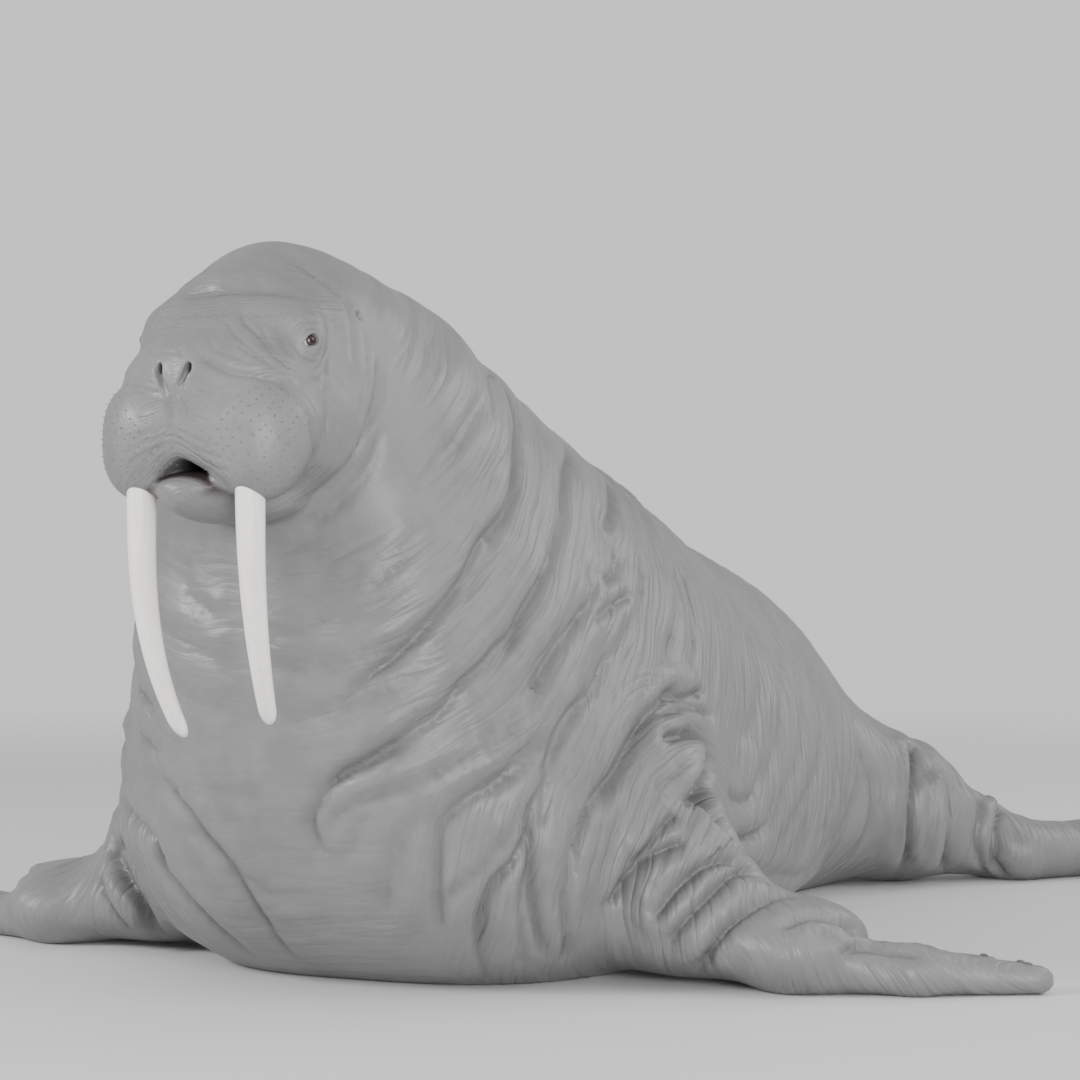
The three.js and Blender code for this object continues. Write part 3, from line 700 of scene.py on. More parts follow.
def folds_of_limb(p):
    lie = limb_lie(p)
    ax = np.abs(p[:, 0])
    rings = 3.2 * furrowed(lie / [50, 300, 300] + 2.2, 0.04) + 1 * furrowed(lie / [22, 130, 130] + 6.1, 0.05)
    rings += 5 * smooth(560, 460, ax) * furrowed(lie / [84, 560, 560] + 4.4, 0.04)
    rings *= mix(1, 0.16, smooth(690, 790, ax))
    steps = 10 * furrowed(lie / [92, 600, 600] + 1.4, 0.02) + 3 * furrowed(lie / [36, 240, 240] + 8.1, 0.03)
    steps *= mix(1, 0.12, smooth(760, 840, ax + 0.3 * (p[:, 1] - 1765)))
    return np.where(p[:, 1] > 800, steps, rings)


def on_face(p):
    q = p - HEAD
    return smooth(230, 60, q[:, 1]) * smooth(-345, -275, q[:, 2])


def folds_of_body(p):
    """How far the small folds of the body lift the skin."""
    lift = mix(folds_of_trunk(p), folds_of_limb(p), limb_share(p))
    return lift * (1 - 0.86 * calm_of(p)) * (1 - on_face(p))


# Creases placed where the camera sees them. Depth and width are in millimetres. Lean lifts the fold
# above the crease more than the one below it.
def fold(depth, width, *places, lean=0.3, ends=0.16):
    return {"depth": depth, "width": width, "places": places, "lean": lean, "ends": ends}


NEAR_FOLDS = {
    "nape": fold(15, 15, (470, 350), (495, 380), (510, 412), (516, 442), (514, 483), (506, 514),
        (480, 544), (463, 581), (439, 612), (402, 650), (380, 668), (350, 690), (310, 700)),
    "behind the nape": fold(12, 14, (548, 425), (567, 452), (565, 479), (563, 514), (559, 534),
        (551, 559), (539, 587), (520, 620), (506, 650), (480, 672)),
    "shoulder top": fold(11, 14, (594, 550), (592, 575), (590, 599), (573, 626), (555, 650), (528, 695),
        (511, 728), ends=0.3),
    "nape branch": fold(5, 13, (484, 388), (472, 418), (456, 444), (432, 462), ends=0.3),
    "behind the cheek": fold(7, 11, (374, 347), (378, 380), (374, 409), (360, 439), (347, 460),
        (331, 480), (304, 503)),
    "behind the cheek, second": fold(6, 11, (382, 418), (369, 463), (341, 499), (300, 534)),
    "back knot": fold(11, 12, (606, 481), (610, 514), (606, 534)),
    "back hook": fold(10, 10, (614, 550), (614, 571), (600, 585)),
    "back fork": fold(10, 10, (629, 594), (601, 613), (592, 625)),
    "in front of the arm": fold(20, 17, (682, 681), (662, 700), (648, 717), (632, 745), (618, 773),
        (592, 807), (578, 838), (573, 866), (574, 897)),
    "above the arm": fold(9, 13, (685, 672), (693, 644), (690, 602), (676, 560)),
    "arm pocket, roof": fold(14, 13, (665, 698), (682, 698), (702, 692)),
    "arm pocket, second roof": fold(11, 12, (654, 720), (671, 712), (688, 707), (704, 714), (716, 717)),
    "arm pocket, edge": fold(20, 15, (654, 742), (674, 737), (690, 737), (702, 754), (704, 773),
        (702, 793), (704, 813), (716, 829), (733, 841), ends=0.1),
    "arm pocket": fold(24, 15, (696, 762), (699, 782), (688, 801), (676, 810)),
    "arm pocket, tail": fold(13, 12, (676, 813), (660, 829), (646, 849), (629, 866)),
    "elbow": fold(14, 13, (688, 843), (660, 852), (634, 869), (615, 897), (606, 911)),
    "arm, first ring": fold(15, 14, (741, 866), (719, 864), (699, 871), (676, 891), (660, 911),
        (648, 925)),
    "arm, second ring": fold(14, 13, (761, 877), (741, 873), (727, 880), (710, 897), (693, 914),
        (676, 933), (665, 953)),
    "wrist": fold(15, 12, (800, 900), (775, 900), (749, 911), (730, 925), (716, 944), (704, 964),
        (699, 978)),
    "chest side": fold(12, 13, (547, 776), (530, 804), (528, 841), (530, 883), (536, 925), (547, 961)),
    "chest side, upper": fold(8, 12, (584, 697), (564, 728), (550, 765), (542, 798), (536, 841)),
    "shoulder front": fold(6, 11, (505, 762), (525, 751), (539, 742)),
    "shoulder front, upper": fold(6, 11, (480, 742), (497, 728), (514, 717)),
    "chest side, foot": fold(9, 12, (561, 883), (564, 925), (564, 964)),
    "behind the arm, upper drape": fold(9, 12, (724, 779), (733, 799), (747, 801), (755, 784),
        (761, 756)),
    "behind the arm, lower drape": fold(9, 12, (716, 843), (727, 855), (741, 855), (755, 835),
        (769, 799)),
    "chest edge": fold(9, 13, (420, 736), (390, 750), (367, 766), (344, 775), (328, 789), (319, 805),
        (312, 824), (319, 847), (328, 865)),
    "chest edge, inner": fold(6, 11, (420, 782), (401, 789), (374, 798), (351, 805), (335, 821),
        (326, 837)),
    "hip": fold(20, 12, (909, 745), (911, 775), (909, 808), (907, 853), (893, 884), lean=0.8, ends=0.04),
    "knee": fold(20, 12, (936, 769), (946, 786), (949, 808), (946, 836), (943, 862), (949, 884),
        lean=0.8, ends=0.04),
    "ankle": fold(18, 12, (1000, 808), (995, 830), (994, 862), (1008, 878), lean=0.8, ends=0.04),
    "flank, rear": fold(8, 14, (846, 700), (862, 752), (872, 786), (869, 822), (852, 856), lean=0.8),
    "hip, fine": fold(7, 9, (890, 745), (896, 775), (897, 812), (888, 850)),
    "calf": fold(6, 8, (921, 770), (928, 800), (926, 835), (921, 862)),
    "hand, first": fold(10, 10, (775, 933), (808, 919), (836, 924), (859, 933)),
    "hand, second": fold(7, 10, (797, 944), (836, 936), (893, 944)),
    "hand, third": fold(9, 9, (834, 955), (864, 950), (925, 957)),
    "hand, fourth": fold(9, 9, (904, 941), (940, 950), (985, 958)),
    "neck, low branch": fold(7, 11, (494, 525), (490, 551), (478, 578), (461, 594)),
    "neck, front": fold(5, 10, (424, 525), (405, 546), (384, 573), (365, 589)),
    "neck, foot": fold(5, 11, (475, 616), (451, 637), (424, 659), (397, 683), (357, 701)),
    "shoulder, second": fold(10, 12, (520, 629), (499, 643), (483, 664), (461, 683), (440, 712),
        (411, 731), (378, 752), (349, 771), (330, 787), (319, 801)),
    "shoulder, fourth": fold(9, 12, (611, 637), (593, 688), (569, 712), (555, 734), (542, 766),
        (531, 790)),
    "shoulder, short": fold(7, 9, (542, 672), (531, 696), (526, 718)),
    "shoulder, long": fold(6, 13, (636, 538), (641, 581), (636, 613), (617, 648), (598, 677)),
    "shoulder, rear": fold(6, 13, (670, 562), (676, 608), (670, 643), (646, 683), (628, 701)),
    "breast, upper": fold(7, 10, (518, 726), (486, 747), (440, 771), (408, 790)),
    "breast, lower": fold(7, 10, (547, 736), (518, 763), (488, 787)),
    "curtain, first": fold(9, 12, (528, 748), (505, 774), (463, 802), (441, 827), (438, 861), (438, 903),
        (441, 939)),
    "curtain, second": fold(7, 11, (530, 799), (511, 827), (494, 849), (458, 886), (444, 906)),
    "curtain, third": fold(12, 12, (530, 821), (511, 858), (491, 883), (480, 917), (479, 953),
        (489, 981), ends=0.08),
    "curtain, fourth": fold(8, 11, (528, 855), (519, 889), (521, 931), (522, 967)),
    "curtain, fifth": fold(5, 12, (399, 827), (393, 849), (388, 883), (388, 917)),
    "curtain, sixth": fold(4, 11, (373, 805), (357, 833), (351, 861)),
    "curtain, seventh": fold(5, 12, (421, 810), (407, 833), (404, 861), (402, 897)),
    "flank, second": fold(4, 13, (710, 568), (738, 616), (758, 661), (759, 697), (751, 725), (733, 748)),
    "flank, third": fold(4, 13, (735, 574), (775, 633), (780, 697), (773, 753), (758, 787), (744, 804)),
    "flank, fourth": fold(4, 13, (792, 652), (800, 697), (797, 753), (780, 798), (758, 835), (744, 854)),
    "flank, fifth": fold(5, 13, (808, 672), (820, 720), (817, 765), (797, 809), (780, 843), (763, 871)),
    "flank, sixth": fold(6, 13, (822, 686), (836, 736), (836, 781), (820, 835), (797, 877), (786, 894)),
    "flank, seventh": fold(5, 12, (848, 706), (856, 753), (853, 801), (836, 838), (806, 885)),
    "ankle, second": fold(12, 10, (976, 796), (975, 835), (981, 863), (996, 880), lean=0.1, ends=0.04),
}
FAR_FOLDS = {
    "far chest": fold(18, 15, (126, 778), (128, 801), (137, 819), (153, 837), (160, 851), (167, 870),
        (188, 895), (209, 918), (236, 943), (271, 966)),
    "far chest, inner": fold(10, 13, (158, 764), (176, 796), (195, 819), (222, 856), (241, 883),
        (259, 911), (275, 936), (293, 955), (323, 971)),
    "far armpit": fold(12, 12, (117, 810), (121, 847), (131, 881), (147, 911), (167, 936), (174, 943)),
    "far arm root": fold(13, 11, (103, 876), (108, 899), (126, 922), (140, 934)),
    "chest, faint": fold(3, 12, (167, 769), (183, 787), (211, 789), (241, 796), (280, 792)),
    "throat, left": fold(4, 10, (165, 663), (179, 686), (206, 704), (241, 709)),
    "throat, middle": fold(4, 10, (268, 668), (290, 670), (310, 668)),
    "throat, low": fold(4, 10, (245, 711), (287, 713), (333, 707), (355, 697), (367, 681)),
    "far shoulder knot": fold(9, 10, (140, 690), (147, 700), (156, 712)),
    "far shoulder knot, low": fold(9, 10, (141, 738), (149, 745), (158, 757)),
    "far chest, outer": fold(10, 12, (118, 847), (126, 878), (146, 911), (174, 942), (194, 953)),
    "far chest, faint": fold(5, 12, (183, 821), (216, 849), (247, 875), (286, 903)),
    "far chest, foot": fold(7, 11, (270, 934), (303, 959), (343, 973)),
    "throat, first": fold(6, 10, (188, 588), (202, 605), (222, 615), (242, 616)),
    "throat, second": fold(6, 10, (157, 605), (174, 631), (202, 650), (230, 661), (247, 664)),
    "throat, third": fold(5, 10, (267, 636), (292, 633), (326, 622), (343, 608)),
    "throat, fourth": fold(6, 10, (270, 670), (303, 667), (343, 659), (371, 650), (402, 640)),
    "throat, fifth": fold(6, 11, (275, 718), (315, 715), (343, 709), (371, 701), (404, 692)),
}
HEAD_FOLDS = {
    "pad": fold(5, 6, (198, 354), (213, 364), (226, 371), (244, 375), (262, 378), (278, 383),
        (291, 392), (302, 405), (310, 421), (313, 439), (311, 459), (304, 477), (293, 490), (280, 498),
        lean=-0.3, ends=0.08),
    "brow ridge": fold(9, 19, (178, 296), (208, 292), (235, 290), (262, 290), (284, 292), (310, 299),
        lean=0.6),
    "temple line": fold(4.5, 6.5, (284, 260), (311, 274), (329, 287), (342, 298), (349, 312), (352, 334),
        (353, 356), (356, 376), lean=0.6),
    "inner brow": fold(3, 5, (242, 305), (245, 323), (260, 338), (271, 354), (284, 365), (295, 376),
        (304, 390)),
    "inner brow, second": fold(2, 4, (226, 318), (234, 334), (249, 348), (262, 358), (278, 370),
        (291, 382)),
    "inner brow, third": fold(1.8, 4, (208, 336), (215, 350), (231, 356), (246, 362), (260, 366)),
    "brow, near the eye": fold(2, 4, (260, 325), (269, 343), (280, 360), (290, 371)),
    "brow, nearer the eye": fold(1.8, 3.6, (278, 325), (282, 343), (291, 361), (300, 372)),
    "cheek, below": fold(2.4, 4, (235, 343), (249, 354), (264, 363), (278, 374), (293, 388)),
    "eye ring": fold(2.4, 3.6, (295, 343), (300, 354), (310, 359), (318, 354), (322, 343), (320, 332),
        (312, 328), (304, 331), ends=0.1),
    "eye ring, outer": fold(2, 3.6, (298, 325), (309, 322), (321, 328), (325, 343), (323, 358),
        (316, 369), (307, 371), (298, 366), ends=0.1),
    "under the eye": fold(3, 4.5, (300, 372), (310, 376), (319, 372), (324, 356)),
    "beside the eye": fold(2.6, 5, (326, 327), (327, 352), (324, 376), (327, 401)),
    "beside the pad": fold(3.5, 5, (324, 379), (327, 408), (324, 432), (318, 452)),
    "cheek, rear": fold(5, 5, (375, 343), (379, 370), (376, 399), (368, 421), (356, 443), (340, 466),
        (320, 488)),
    "cheek, rear second": fold(3, 4.5, (360, 325), (365, 356), (362, 388), (358, 414)),
    "nose ring": fold(2, 3.4, (149, 354), (162, 352), (173, 353), (180, 354)),
    "nose, upright": fold(1.8, 3, (177, 346), (182, 354), (182, 361)),
    "nose, far first": fold(2.2, 3.4, (129, 379), (144, 380), (157, 385)),
    "nose, far second": fold(2.2, 3.4, (124, 385), (139, 387), (155, 392), (166, 392)),
    "nose, far third": fold(1.8, 3.4, (137, 373), (148, 374), (157, 377)),
    "nose, far fourth": fold(2, 3.4, (121, 392), (137, 394), (150, 396)),
    "nose, near first": fold(1.8, 3.4, (198, 379), (213, 386), (231, 386)),
    "nose, near second": fold(2, 3.4, (196, 389), (213, 395), (233, 394)),
    "philtrum": fold(2.8, 5, (173, 394), (173, 408), (172, 421), (173, 434), lean=0),
    "lip roll": fold(1.8, 3.6, (128, 445), (139, 437), (155, 431), (170, 428), (186, 434), (202, 442),
        (217, 448)),
    "lip roll, second": fold(1.8, 3.6, (124, 459), (137, 447), (153, 440), (170, 436), (188, 443),
        (206, 453), (226, 460)),
    "lip roll, third": fold(1.8, 3.6, (126, 470), (139, 458), (155, 449), (173, 444), (191, 452),
        (213, 466), (235, 473)),
    "lower lip": fold(1.6, 3.4, (168, 497), (182, 506), (197, 510), (213, 509)),
}
STEP = 7.0


def seen_at(pixels):
    """Where the camera's rays through pixels meet the smooth body, or pass closest to it."""
    turn = math.radians(CAMERA["azimuth"])
    pitch = math.radians(CAMERA["pitch"])
    right = np.array([math.cos(turn), math.sin(turn), 0])
    ahead = np.array([-math.sin(turn) * math.cos(pitch), math.cos(turn) * math.cos(pitch), math.sin(pitch)])
    above = np.cross(right, ahead)
    off = (np.asarray(pixels, float) - CAMERA["picture"] / 2) / CAMERA["focal"]
    ray = unit(ahead + off[:, :1] * right - off[:, 1:] * above)
    far = np.full(len(ray), 3000.0)
    best = far.copy()
    lowest = np.full(len(ray), np.inf)
    start = np.array(CAMERA["place"], float)
    for _ in range(60):
        d = flesh(start + ray * far[:, None])
        closer = d < lowest
        best = np.where(closer, far, best)
        lowest = np.where(closer, d, lowest)
        far = far + clamp(d * 0.7, 0.0, 80)
        far = np.where((d > 0.2) & (lowest > 0.5), far + 1.5, far)
    return settle(flesh, start + ray * best[:, None], 4)


def line_of(fold_row):
    """A crease as a chain of points on the skin, with its direction and the side that it leans to."""
    knots = seen_at(fold_row["places"])
    padded = np.concatenate([[2 * knots[0] - knots[1]], knots, [2 * knots[-1] - knots[-2]]])
    chain = []
    for i in range(len(knots) - 1):
        a, b, c, d = padded[i : i + 4]
        count = max(int(math.dist(b, c) / STEP), 1)
        t = (np.arange(count) / count)[:, None]
        chain.append(spline(a, b, c, d, t))
    chain = settle(flesh, np.concatenate([*chain, knots[-1:]]), 2)
    normal = unit(slope_of(flesh, chain)[1])
    tangent = np.gradient(chain, axis=0)
    tangent /= np.maximum(np.sqrt((tangent**2).sum(-1, keepdims=True)), 1e-6)
    side = np.cross(normal, tangent)
    side *= 1 if (side @ np.array([0, -0.6, 0.8])).mean() > 0 else -1
    t = np.linspace(0, 1, len(chain))
    fade = smooth(0, fold_row["ends"], t) * smooth(0, fold_row["ends"], 1 - t)
    return {"chain": chain, "normal": normal, "tangent": tangent, "side": side, "fade": fade}


def mirror_line(line):
    """The same crease on the other flank, out of the camera's sight."""
    flip = np.array([-1, 1, 1])
    other = {key: line[key] * flip for key in ("chain", "normal", "tangent", "side")}
    toward = unit(np.array(CAMERA["place"], float) - other["chain"])
    hidden = smooth(0.12, -0.1, (other["normal"] * toward).sum(-1))
    other["chain"] = other["chain"] + 9 * np.stack([noise(other["chain"] / 140 + k) for k in range(3)], -1)
    return other | {"fade": line["fade"] * hidden}


def lines_of(rows, mirrors):
    """Each row with its crease, and its mirror image."""
    made = []
    for row in rows.values():
        line = line_of(row)
        made.append((row, line))
        if mirrors:
            made.append((row, mirror_line(line)))
    return made


# A crease is a valley between two crests. Reach, round and crest are in widths of the crease.
PROFILE = {"reach": 7, "past": 1.5, "round": 0.2, "steep": 1.3, "crest": 2.1, "peaked": 1.6, "lift": 0.5}
FULL_DEPTH = 12


def press(p, lines, share):
    """The lift of the skin by creases, that share of their full depth, and how deep in one each point is."""
    lift = np.zeros(len(p))
    depth = np.zeros(len(p))
    for row, line in lines:
        wide = row["width"]
        low = line["chain"].min(0) - PROFILE["reach"] * wide
        high = line["chain"].max(0) + PROFILE["reach"] * wide
        near = np.flatnonzero(((p > low) & (p < high)).all(-1))
        if not len(near):
            continue
        away = ((p[near, None] - line["chain"][None]) ** 2).sum(-1)
        k = away.argmin(-1)
        off = p[near] - line["chain"][k]
        across = (off * line["side"][k]).sum(-1)
        past = np.maximum(np.abs((off * line["tangent"][k]).sum(-1)) - STEP, 0)
        rounding = PROFILE["round"] * wide
        r = np.sqrt(across**2 + (past * PROFILE["past"]) ** 2 + rounding**2) - rounding
        valley = np.exp(-r / wide * PROFILE["steep"])
        crest = r / (PROFILE["crest"] * wide) * np.exp(1 - r / (PROFILE["crest"] * wide))
        crest = crest ** PROFILE["peaked"] * (1 + row["lean"] * clamp(across / wide, -1, 1))
        fade = line["fade"][k]
        lift[near] += share * fade * row["depth"] * (PROFILE["lift"] * crest - valley)
        depth[near] = np.maximum(depth[near], fade * valley * min(row["depth"] / FULL_DEPTH, 1))
    return lift, depth


def refined(points, faces, chosen, field):
    """Splits the faces that are chosen in four, and settles the new vertices."""
    made = bmesh.new()
    for point in points:
        made.verts.new(point)
    made.verts.ensure_lookup_table()
    for face in faces:
        made.faces.new([made.verts[i] for i in face])
    made.faces.ensure_lookup_table()
    place = np.array([f.calc_center_median()[:] for f in made.faces])
    edges = {e for i in np.flatnonzero(chosen(place)) for e in made.faces[i].edges}
    bmesh.ops.subdivide_edges(made, edges=list(edges), cuts=1, use_grid_fill=True)
    made.verts.ensure_lookup_table()
    made.verts.index_update()
    new_points = np.array([v.co[:] for v in made.verts], float)
    new_faces = [[v.index for v in f.verts] for f in made.faces]
    made.free()
    count = len(points)
    new_points[count:] = settle(field, new_points[count:], 3, 3.0)
    return new_points, new_faces


def near_spots(spots):
    def chosen(place):
        inside = np.zeros(len(place), bool)
        for centre, radius in spots:
            inside |= ((place - centre) ** 2).sum(-1) < radius**2
        return inside

    return chosen


def near_lines(lines, least):
    """Faces close to a crease that is at least so deep."""
    tree = KDTree(sum(len(line["chain"]) for row, line in lines))
    reach = []
    for row, line in lines:
        for point, fade in zip(line["chain"], line["fade"]):
            tree.insert(point, len(reach))
            reach.append(1.1 * row["width"] if fade * row["depth"] > least else 0)
    tree.balance()

    def chosen(place):
        found = [tree.find(point) for point in place]
        return np.array([away < reach[k] for spot, k, away in found])

    return chosen


def head_spot(across, ahead, up, radius):
    return [(HEAD + [sign * across, -ahead, up], radius) for sign in (1, -1)]


# Where the faces are split: rounds of the head and the near arm, and creases of the body at least so deep.
SPLIT_DEPTH = 7
FINE = (
    head_spot(140, 62, 0, 66) + head_spot(0, 206, -80, 70) + head_spot(70, 190, -150, 84)
    + head_spot(0, 205, -205, 60) + head_spot(70, 130, -40, 70) + head_spot(170, 66, 37, 22)
)
ARM_FOLDS = {"middle": (676, 885), "radius": 130}
FINER = head_spot(151, 60, -10, 26) + head_spot(20, 210, -74, 28) + head_spot(0, 200, -205, 30)
grid_low, grid_high = reach_of(solid)
points, quads = nets(field_grid(solid, grid_low, grid_high), grid_low)
points = relaxed(settle(solid, from_lens(points)), quads, solid)
body_lines = lines_of(NEAR_FOLDS, True) + lines_of(FAR_FOLDS, False)
head_lines = lines_of(HEAD_FOLDS, True)
points, faces = refined(points, quads.tolist(), near_lines(body_lines, SPLIT_DEPTH), solid)
arm_spot = [(seen_at([ARM_FOLDS["middle"]])[0], ARM_FOLDS["radius"])]
points, faces = refined(points, faces, near_spots(FINE + arm_spot), solid)
points, faces = refined(points, faces, near_spots(FINER), solid)

CREASE_SHARE = {"body": 1.15, "head": 0.85}


def folded(p):
    """Points of the smooth skin moved by its folds, the way out of the skin, and the depth in a crease."""
    slope = slope_of(flesh, p)[1]
    out = slope / np.sqrt(np.maximum((slope**2).sum(-1, keepdims=True), 1e-9))
    body_lift, body_depth = press(p, body_lines, CREASE_SHARE["body"])
    head_lift, head_depth = press(p, head_lines, CREASE_SHARE["head"])
    deep = np.maximum(body_depth, head_depth)
    lift = mix(1, 0.45, deep) * folds_of_body(p) + body_lift + head_lift
    moved = p + out * (lift * smooth(-0.92, -0.6, out[:, 2]) * smooth(0, 14, p[:, 2]))[:, None]
    moved[:, 2] = np.maximum(moved[:, 2], 0)
    return moved, out, deep


smooth_points = points
points, _, depth = folded(smooth_points)
ON_FLOOR = 1e-5


def thinned(mesh):
    """Flat patches of the underside take few faces."""
    made = bmesh.new()
    made.from_mesh(mesh)
    flat = [f for f in made.faces if all(v.co.z < ON_FLOOR for v in f.verts)]
    low = {v for f in flat for v in f.verts}
    inner = [v for v in low if all(f.calc_center_median().z < ON_FLOOR for f in v.link_faces)]
    bmesh.ops.dissolve_verts(made, verts=inner)
    bmesh.ops.triangulate(made, faces=[f for f in made.faces if len(f.verts) > 4])
    made.to_mesh(mesh)
    made.free()


def put(mesh, name, values):
    """Stores a number or a vector on every vertex."""
    vectors = np.ndim(values) == 2
    layer = mesh.attributes.new(name, "FLOAT_VECTOR" if vectors else "FLOAT", "POINT")
    layer.data.foreach_set("vector" if vectors else "value", np.ravel(values).astype(np.float32))


# Where the painted shade inside the mouth begins and is full: below the upper lip, behind the lower one,
# above its floor.
MOUTH_SHADE = {"lip": (2, -4), "ahead": (189, 174), "floor": (-262, -240)}
skin = make_object("skin", points, faces)
q = smooth_points - HEAD
across_face, face_share = face_lie(q)
shares = {
    "trunk_lie": trunk_lie(smooth_points) * MM,
    "limb_lie": limb_lie(smooth_points) * MM,
    "face_lie": across_face * MM,
    "pits": np.pad(pit_lattice(q), ((0, 0), (0, 1))),
    "limb": limb_share(smooth_points),
    "face": face_share,
    "depth": depth,
    "rough": (1 - 0.8 * calm_of(smooth_points)) * (1 - on_face(smooth_points)),
    "pad": pad_share(q),
    "inside": smooth(*MOUTH_SHADE["lip"], lip_arch(q)) * smooth(*MOUTH_SHADE["ahead"], -q[:, 1])
    * smooth(*MOUTH_SHADE["floor"], q[:, 2]),
}
for label, values in shares.items():
    put(skin.data, label, values)


def unwrapped(placed, flat_points):
    """Lays the mesh out flat by the shape it has without its folds."""
    creased = np.empty(len(placed.data.vertices) * 3)
    placed.data.vertices.foreach_get("co", creased)
    placed.data.vertices.foreach_set("co", np.ravel(flat_points * MM))
    placed.data.uv_layers.new(name="OFBake")
    bpy.context.view_layer.objects.active = placed
    bpy.ops.object.mode_set(mode="EDIT")
    bpy.ops.mesh.select_all(action="SELECT")
    bpy.ops.uv.smart_project(angle_limit=1.15, island_margin=0.002, scale_to_bounds=True)
    bpy.ops.object.mode_set(mode="OBJECT")
    placed.data.vertices.foreach_set("co", creased)
    placed.data.update()


unwrapped(skin, smooth_points)
thinned(skin.data)
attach(skin, "root")
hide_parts(*FLESH)


class Nodes:
    """Short calls for building a node tree."""

    def __init__(self, tree):
        self.tree = tree

    def feed(self, socket, value):
        if isinstance(value, bpy.types.NodeSocket):
            self.tree.links.new(value, socket)
        else:
            socket.default_value = value

    def set(self, node, **inputs):
        for key, value in inputs.items():
            self.feed(node.inputs[key.replace("_", " ")], value)
        return node

    def add(self, kind, settings=None, **inputs):
        node = self.tree.nodes.new(kind)
        for key, value in (settings or {}).items():
            setattr(node, key, value)
        return self.set(node, **inputs)

    def fed(self, node, values):
        """The first output of a node, when its inputs take the values in turn."""
        for socket, value in zip(node.inputs, values):
            self.feed(socket, value)
        return node.outputs[0]

    def math(self, operation, *values):
        return self.fed(self.add("ShaderNodeMath", {"operation": operation}), values)

    def vector(self, operation, *values):
        return self.fed(self.add("ShaderNodeVectorMath", {"operation": operation}), values)

    def fade(self, value, low, high):
        node = self.add("ShaderNodeMapRange", {"interpolation_type": "SMOOTHSTEP"})
        return self.fed(node, (value, low, high, 0.0, 1.0))

    def colours(self, share, first, second):
        node = self.add("ShaderNodeMix", {"data_type": "RGBA"})
        for index, value in ((0, share), (6, first), (7, second)):
            self.feed(node.inputs[index], value)
        return node.outputs[2]

    def attribute(self, name):
        return self.add("ShaderNodeAttribute", {"attribute_name": name})

    def noise(self, place, scale, detail=2.0, rough=0.5):
        node = self.add("ShaderNodeTexNoise", Vector=place, Scale=scale, Detail=detail, Roughness=rough)
        return node.outputs[0]

    def bump(self, height, distance):
        return self.add("ShaderNodeBump", Height=height, Distance=distance, Strength=1.0).outputs[0]


def node_group(kind, name, inputs, output):
    """A new tree with its sockets, calls for building it, what it is given, and where its result goes."""
    tree = bpy.data.node_groups.new(name, kind)
    for label, socket in inputs.items():
        tree.interface.new_socket(label, in_out="INPUT", socket_type="NodeSocket" + socket)
    tree.interface.new_socket(output[0], in_out="OUTPUT", socket_type="NodeSocket" + output[1])
    n = Nodes(tree)
    given, made = n.add("NodeGroupInput"), n.add("NodeGroupOutput")
    return tree, n, given.outputs, made.inputs[0]


# Claws and the stubs of the whiskers are small shapes set on the skin.
CLAW = {"along": 0.93, "length": 8.5, "width": 5.0, "height": 3.6, "varied": 0.15, "seed": 3}
STUB = {"length": 5.0, "width": 0.75, "varied": 0.45, "seed": 5}


def setter_tree(name, make_shape):
    """Sets one shape on every point, turned out of the skin and along the point's own direction."""
    inputs = {"Points": "Geometry", "Length": "Float", "Width": "Float", "Height": "Float", "Varied": "Float",
              "Seed": "Int", "Material": "Material"}
    tree, n, given, made = node_group("GeometryNodeTree", name, inputs, ("Shapes", "Geometry"))
    size = n.add("ShaderNodeCombineXYZ", X=given["Length"], Y=given["Width"], Z=given["Height"])
    shape = n.add("GeometryNodeTransform", Geometry=make_shape(n), Scale=size.outputs[0])
    turn = None
    for axis, pivot, label in (("Z", "AUTO", "out"), ("X", "Z", "along")):
        way = n.add("GeometryNodeInputNamedAttribute", {"data_type": "FLOAT_VECTOR"}, Name=label)
        turned = n.add("FunctionNodeAlignRotationToVector", {"axis": axis, "pivot_axis": pivot},
                       Vector=way.outputs["Attribute"])
        if turn:
            n.feed(turned.inputs["Rotation"], turn)
        turn = turned.outputs[0]
    low = n.math("SUBTRACT", 1.0, given["Varied"])
    sized = n.add("FunctionNodeRandomValue", {"data_type": "FLOAT"}, Seed=given["Seed"])
    n.feed(sized.inputs[2], low)
    n.feed(sized.inputs[3], 1.0)
    on_points = n.add("GeometryNodeInstanceOnPoints", Points=given["Points"], Instance=shape.outputs[0],
                      Rotation=turn, Scale=sized.outputs[1])
    real = n.add("GeometryNodeRealizeInstances", Geometry=on_points.outputs[0])
    worn = n.add("GeometryNodeSetMaterial", Geometry=real.outputs[0], Material=given["Material"])
    n.feed(made, worn.outputs[0])
    return tree


def set_on_skin(name, tree, sizes, places, along, material):
    """One plain mesh of all the shapes. The points are on the smooth skin."""
    moved, out, _ = folded(places)
    roots = make_object(name + "_roots", moved, [])
    put(roots.data, "out", out)
    put(roots.data, "along", along)
    maker = roots.modifiers.new(name, "NODES")
    maker.node_group = tree
    values = {key.capitalize(): sizes[key] * MM for key in ("length", "width", "height")}
    values |= {"Varied": sizes["varied"], "Seed": sizes["seed"], "Material": material}
    for socket in tree.interface.items_tree:
        if socket.in_out == "INPUT" and socket.name in values:
            maker[socket.identifier] = values[socket.name]
    made = bpy.data.meshes.new_from_object(roots.evaluated_get(bpy.context.evaluated_depsgraph_get()))
    bpy.data.objects.remove(roots)
    made.name = name
    placed = in_scene(name, made)
    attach(placed, "root")
    return placed


def claw_shape(n):
    return n.add("GeometryNodeMeshUVSphere", Segments=12, Rings=7, Radius=1.0).outputs["Mesh"]


def stub_shape(n):
    cone = n.add("GeometryNodeMeshCone", Vertices=6, Side_Segments=2, Depth=1.0)
    return n.set(cone, Radius_Top=0.35, Radius_Bottom=1.0).outputs["Mesh"]


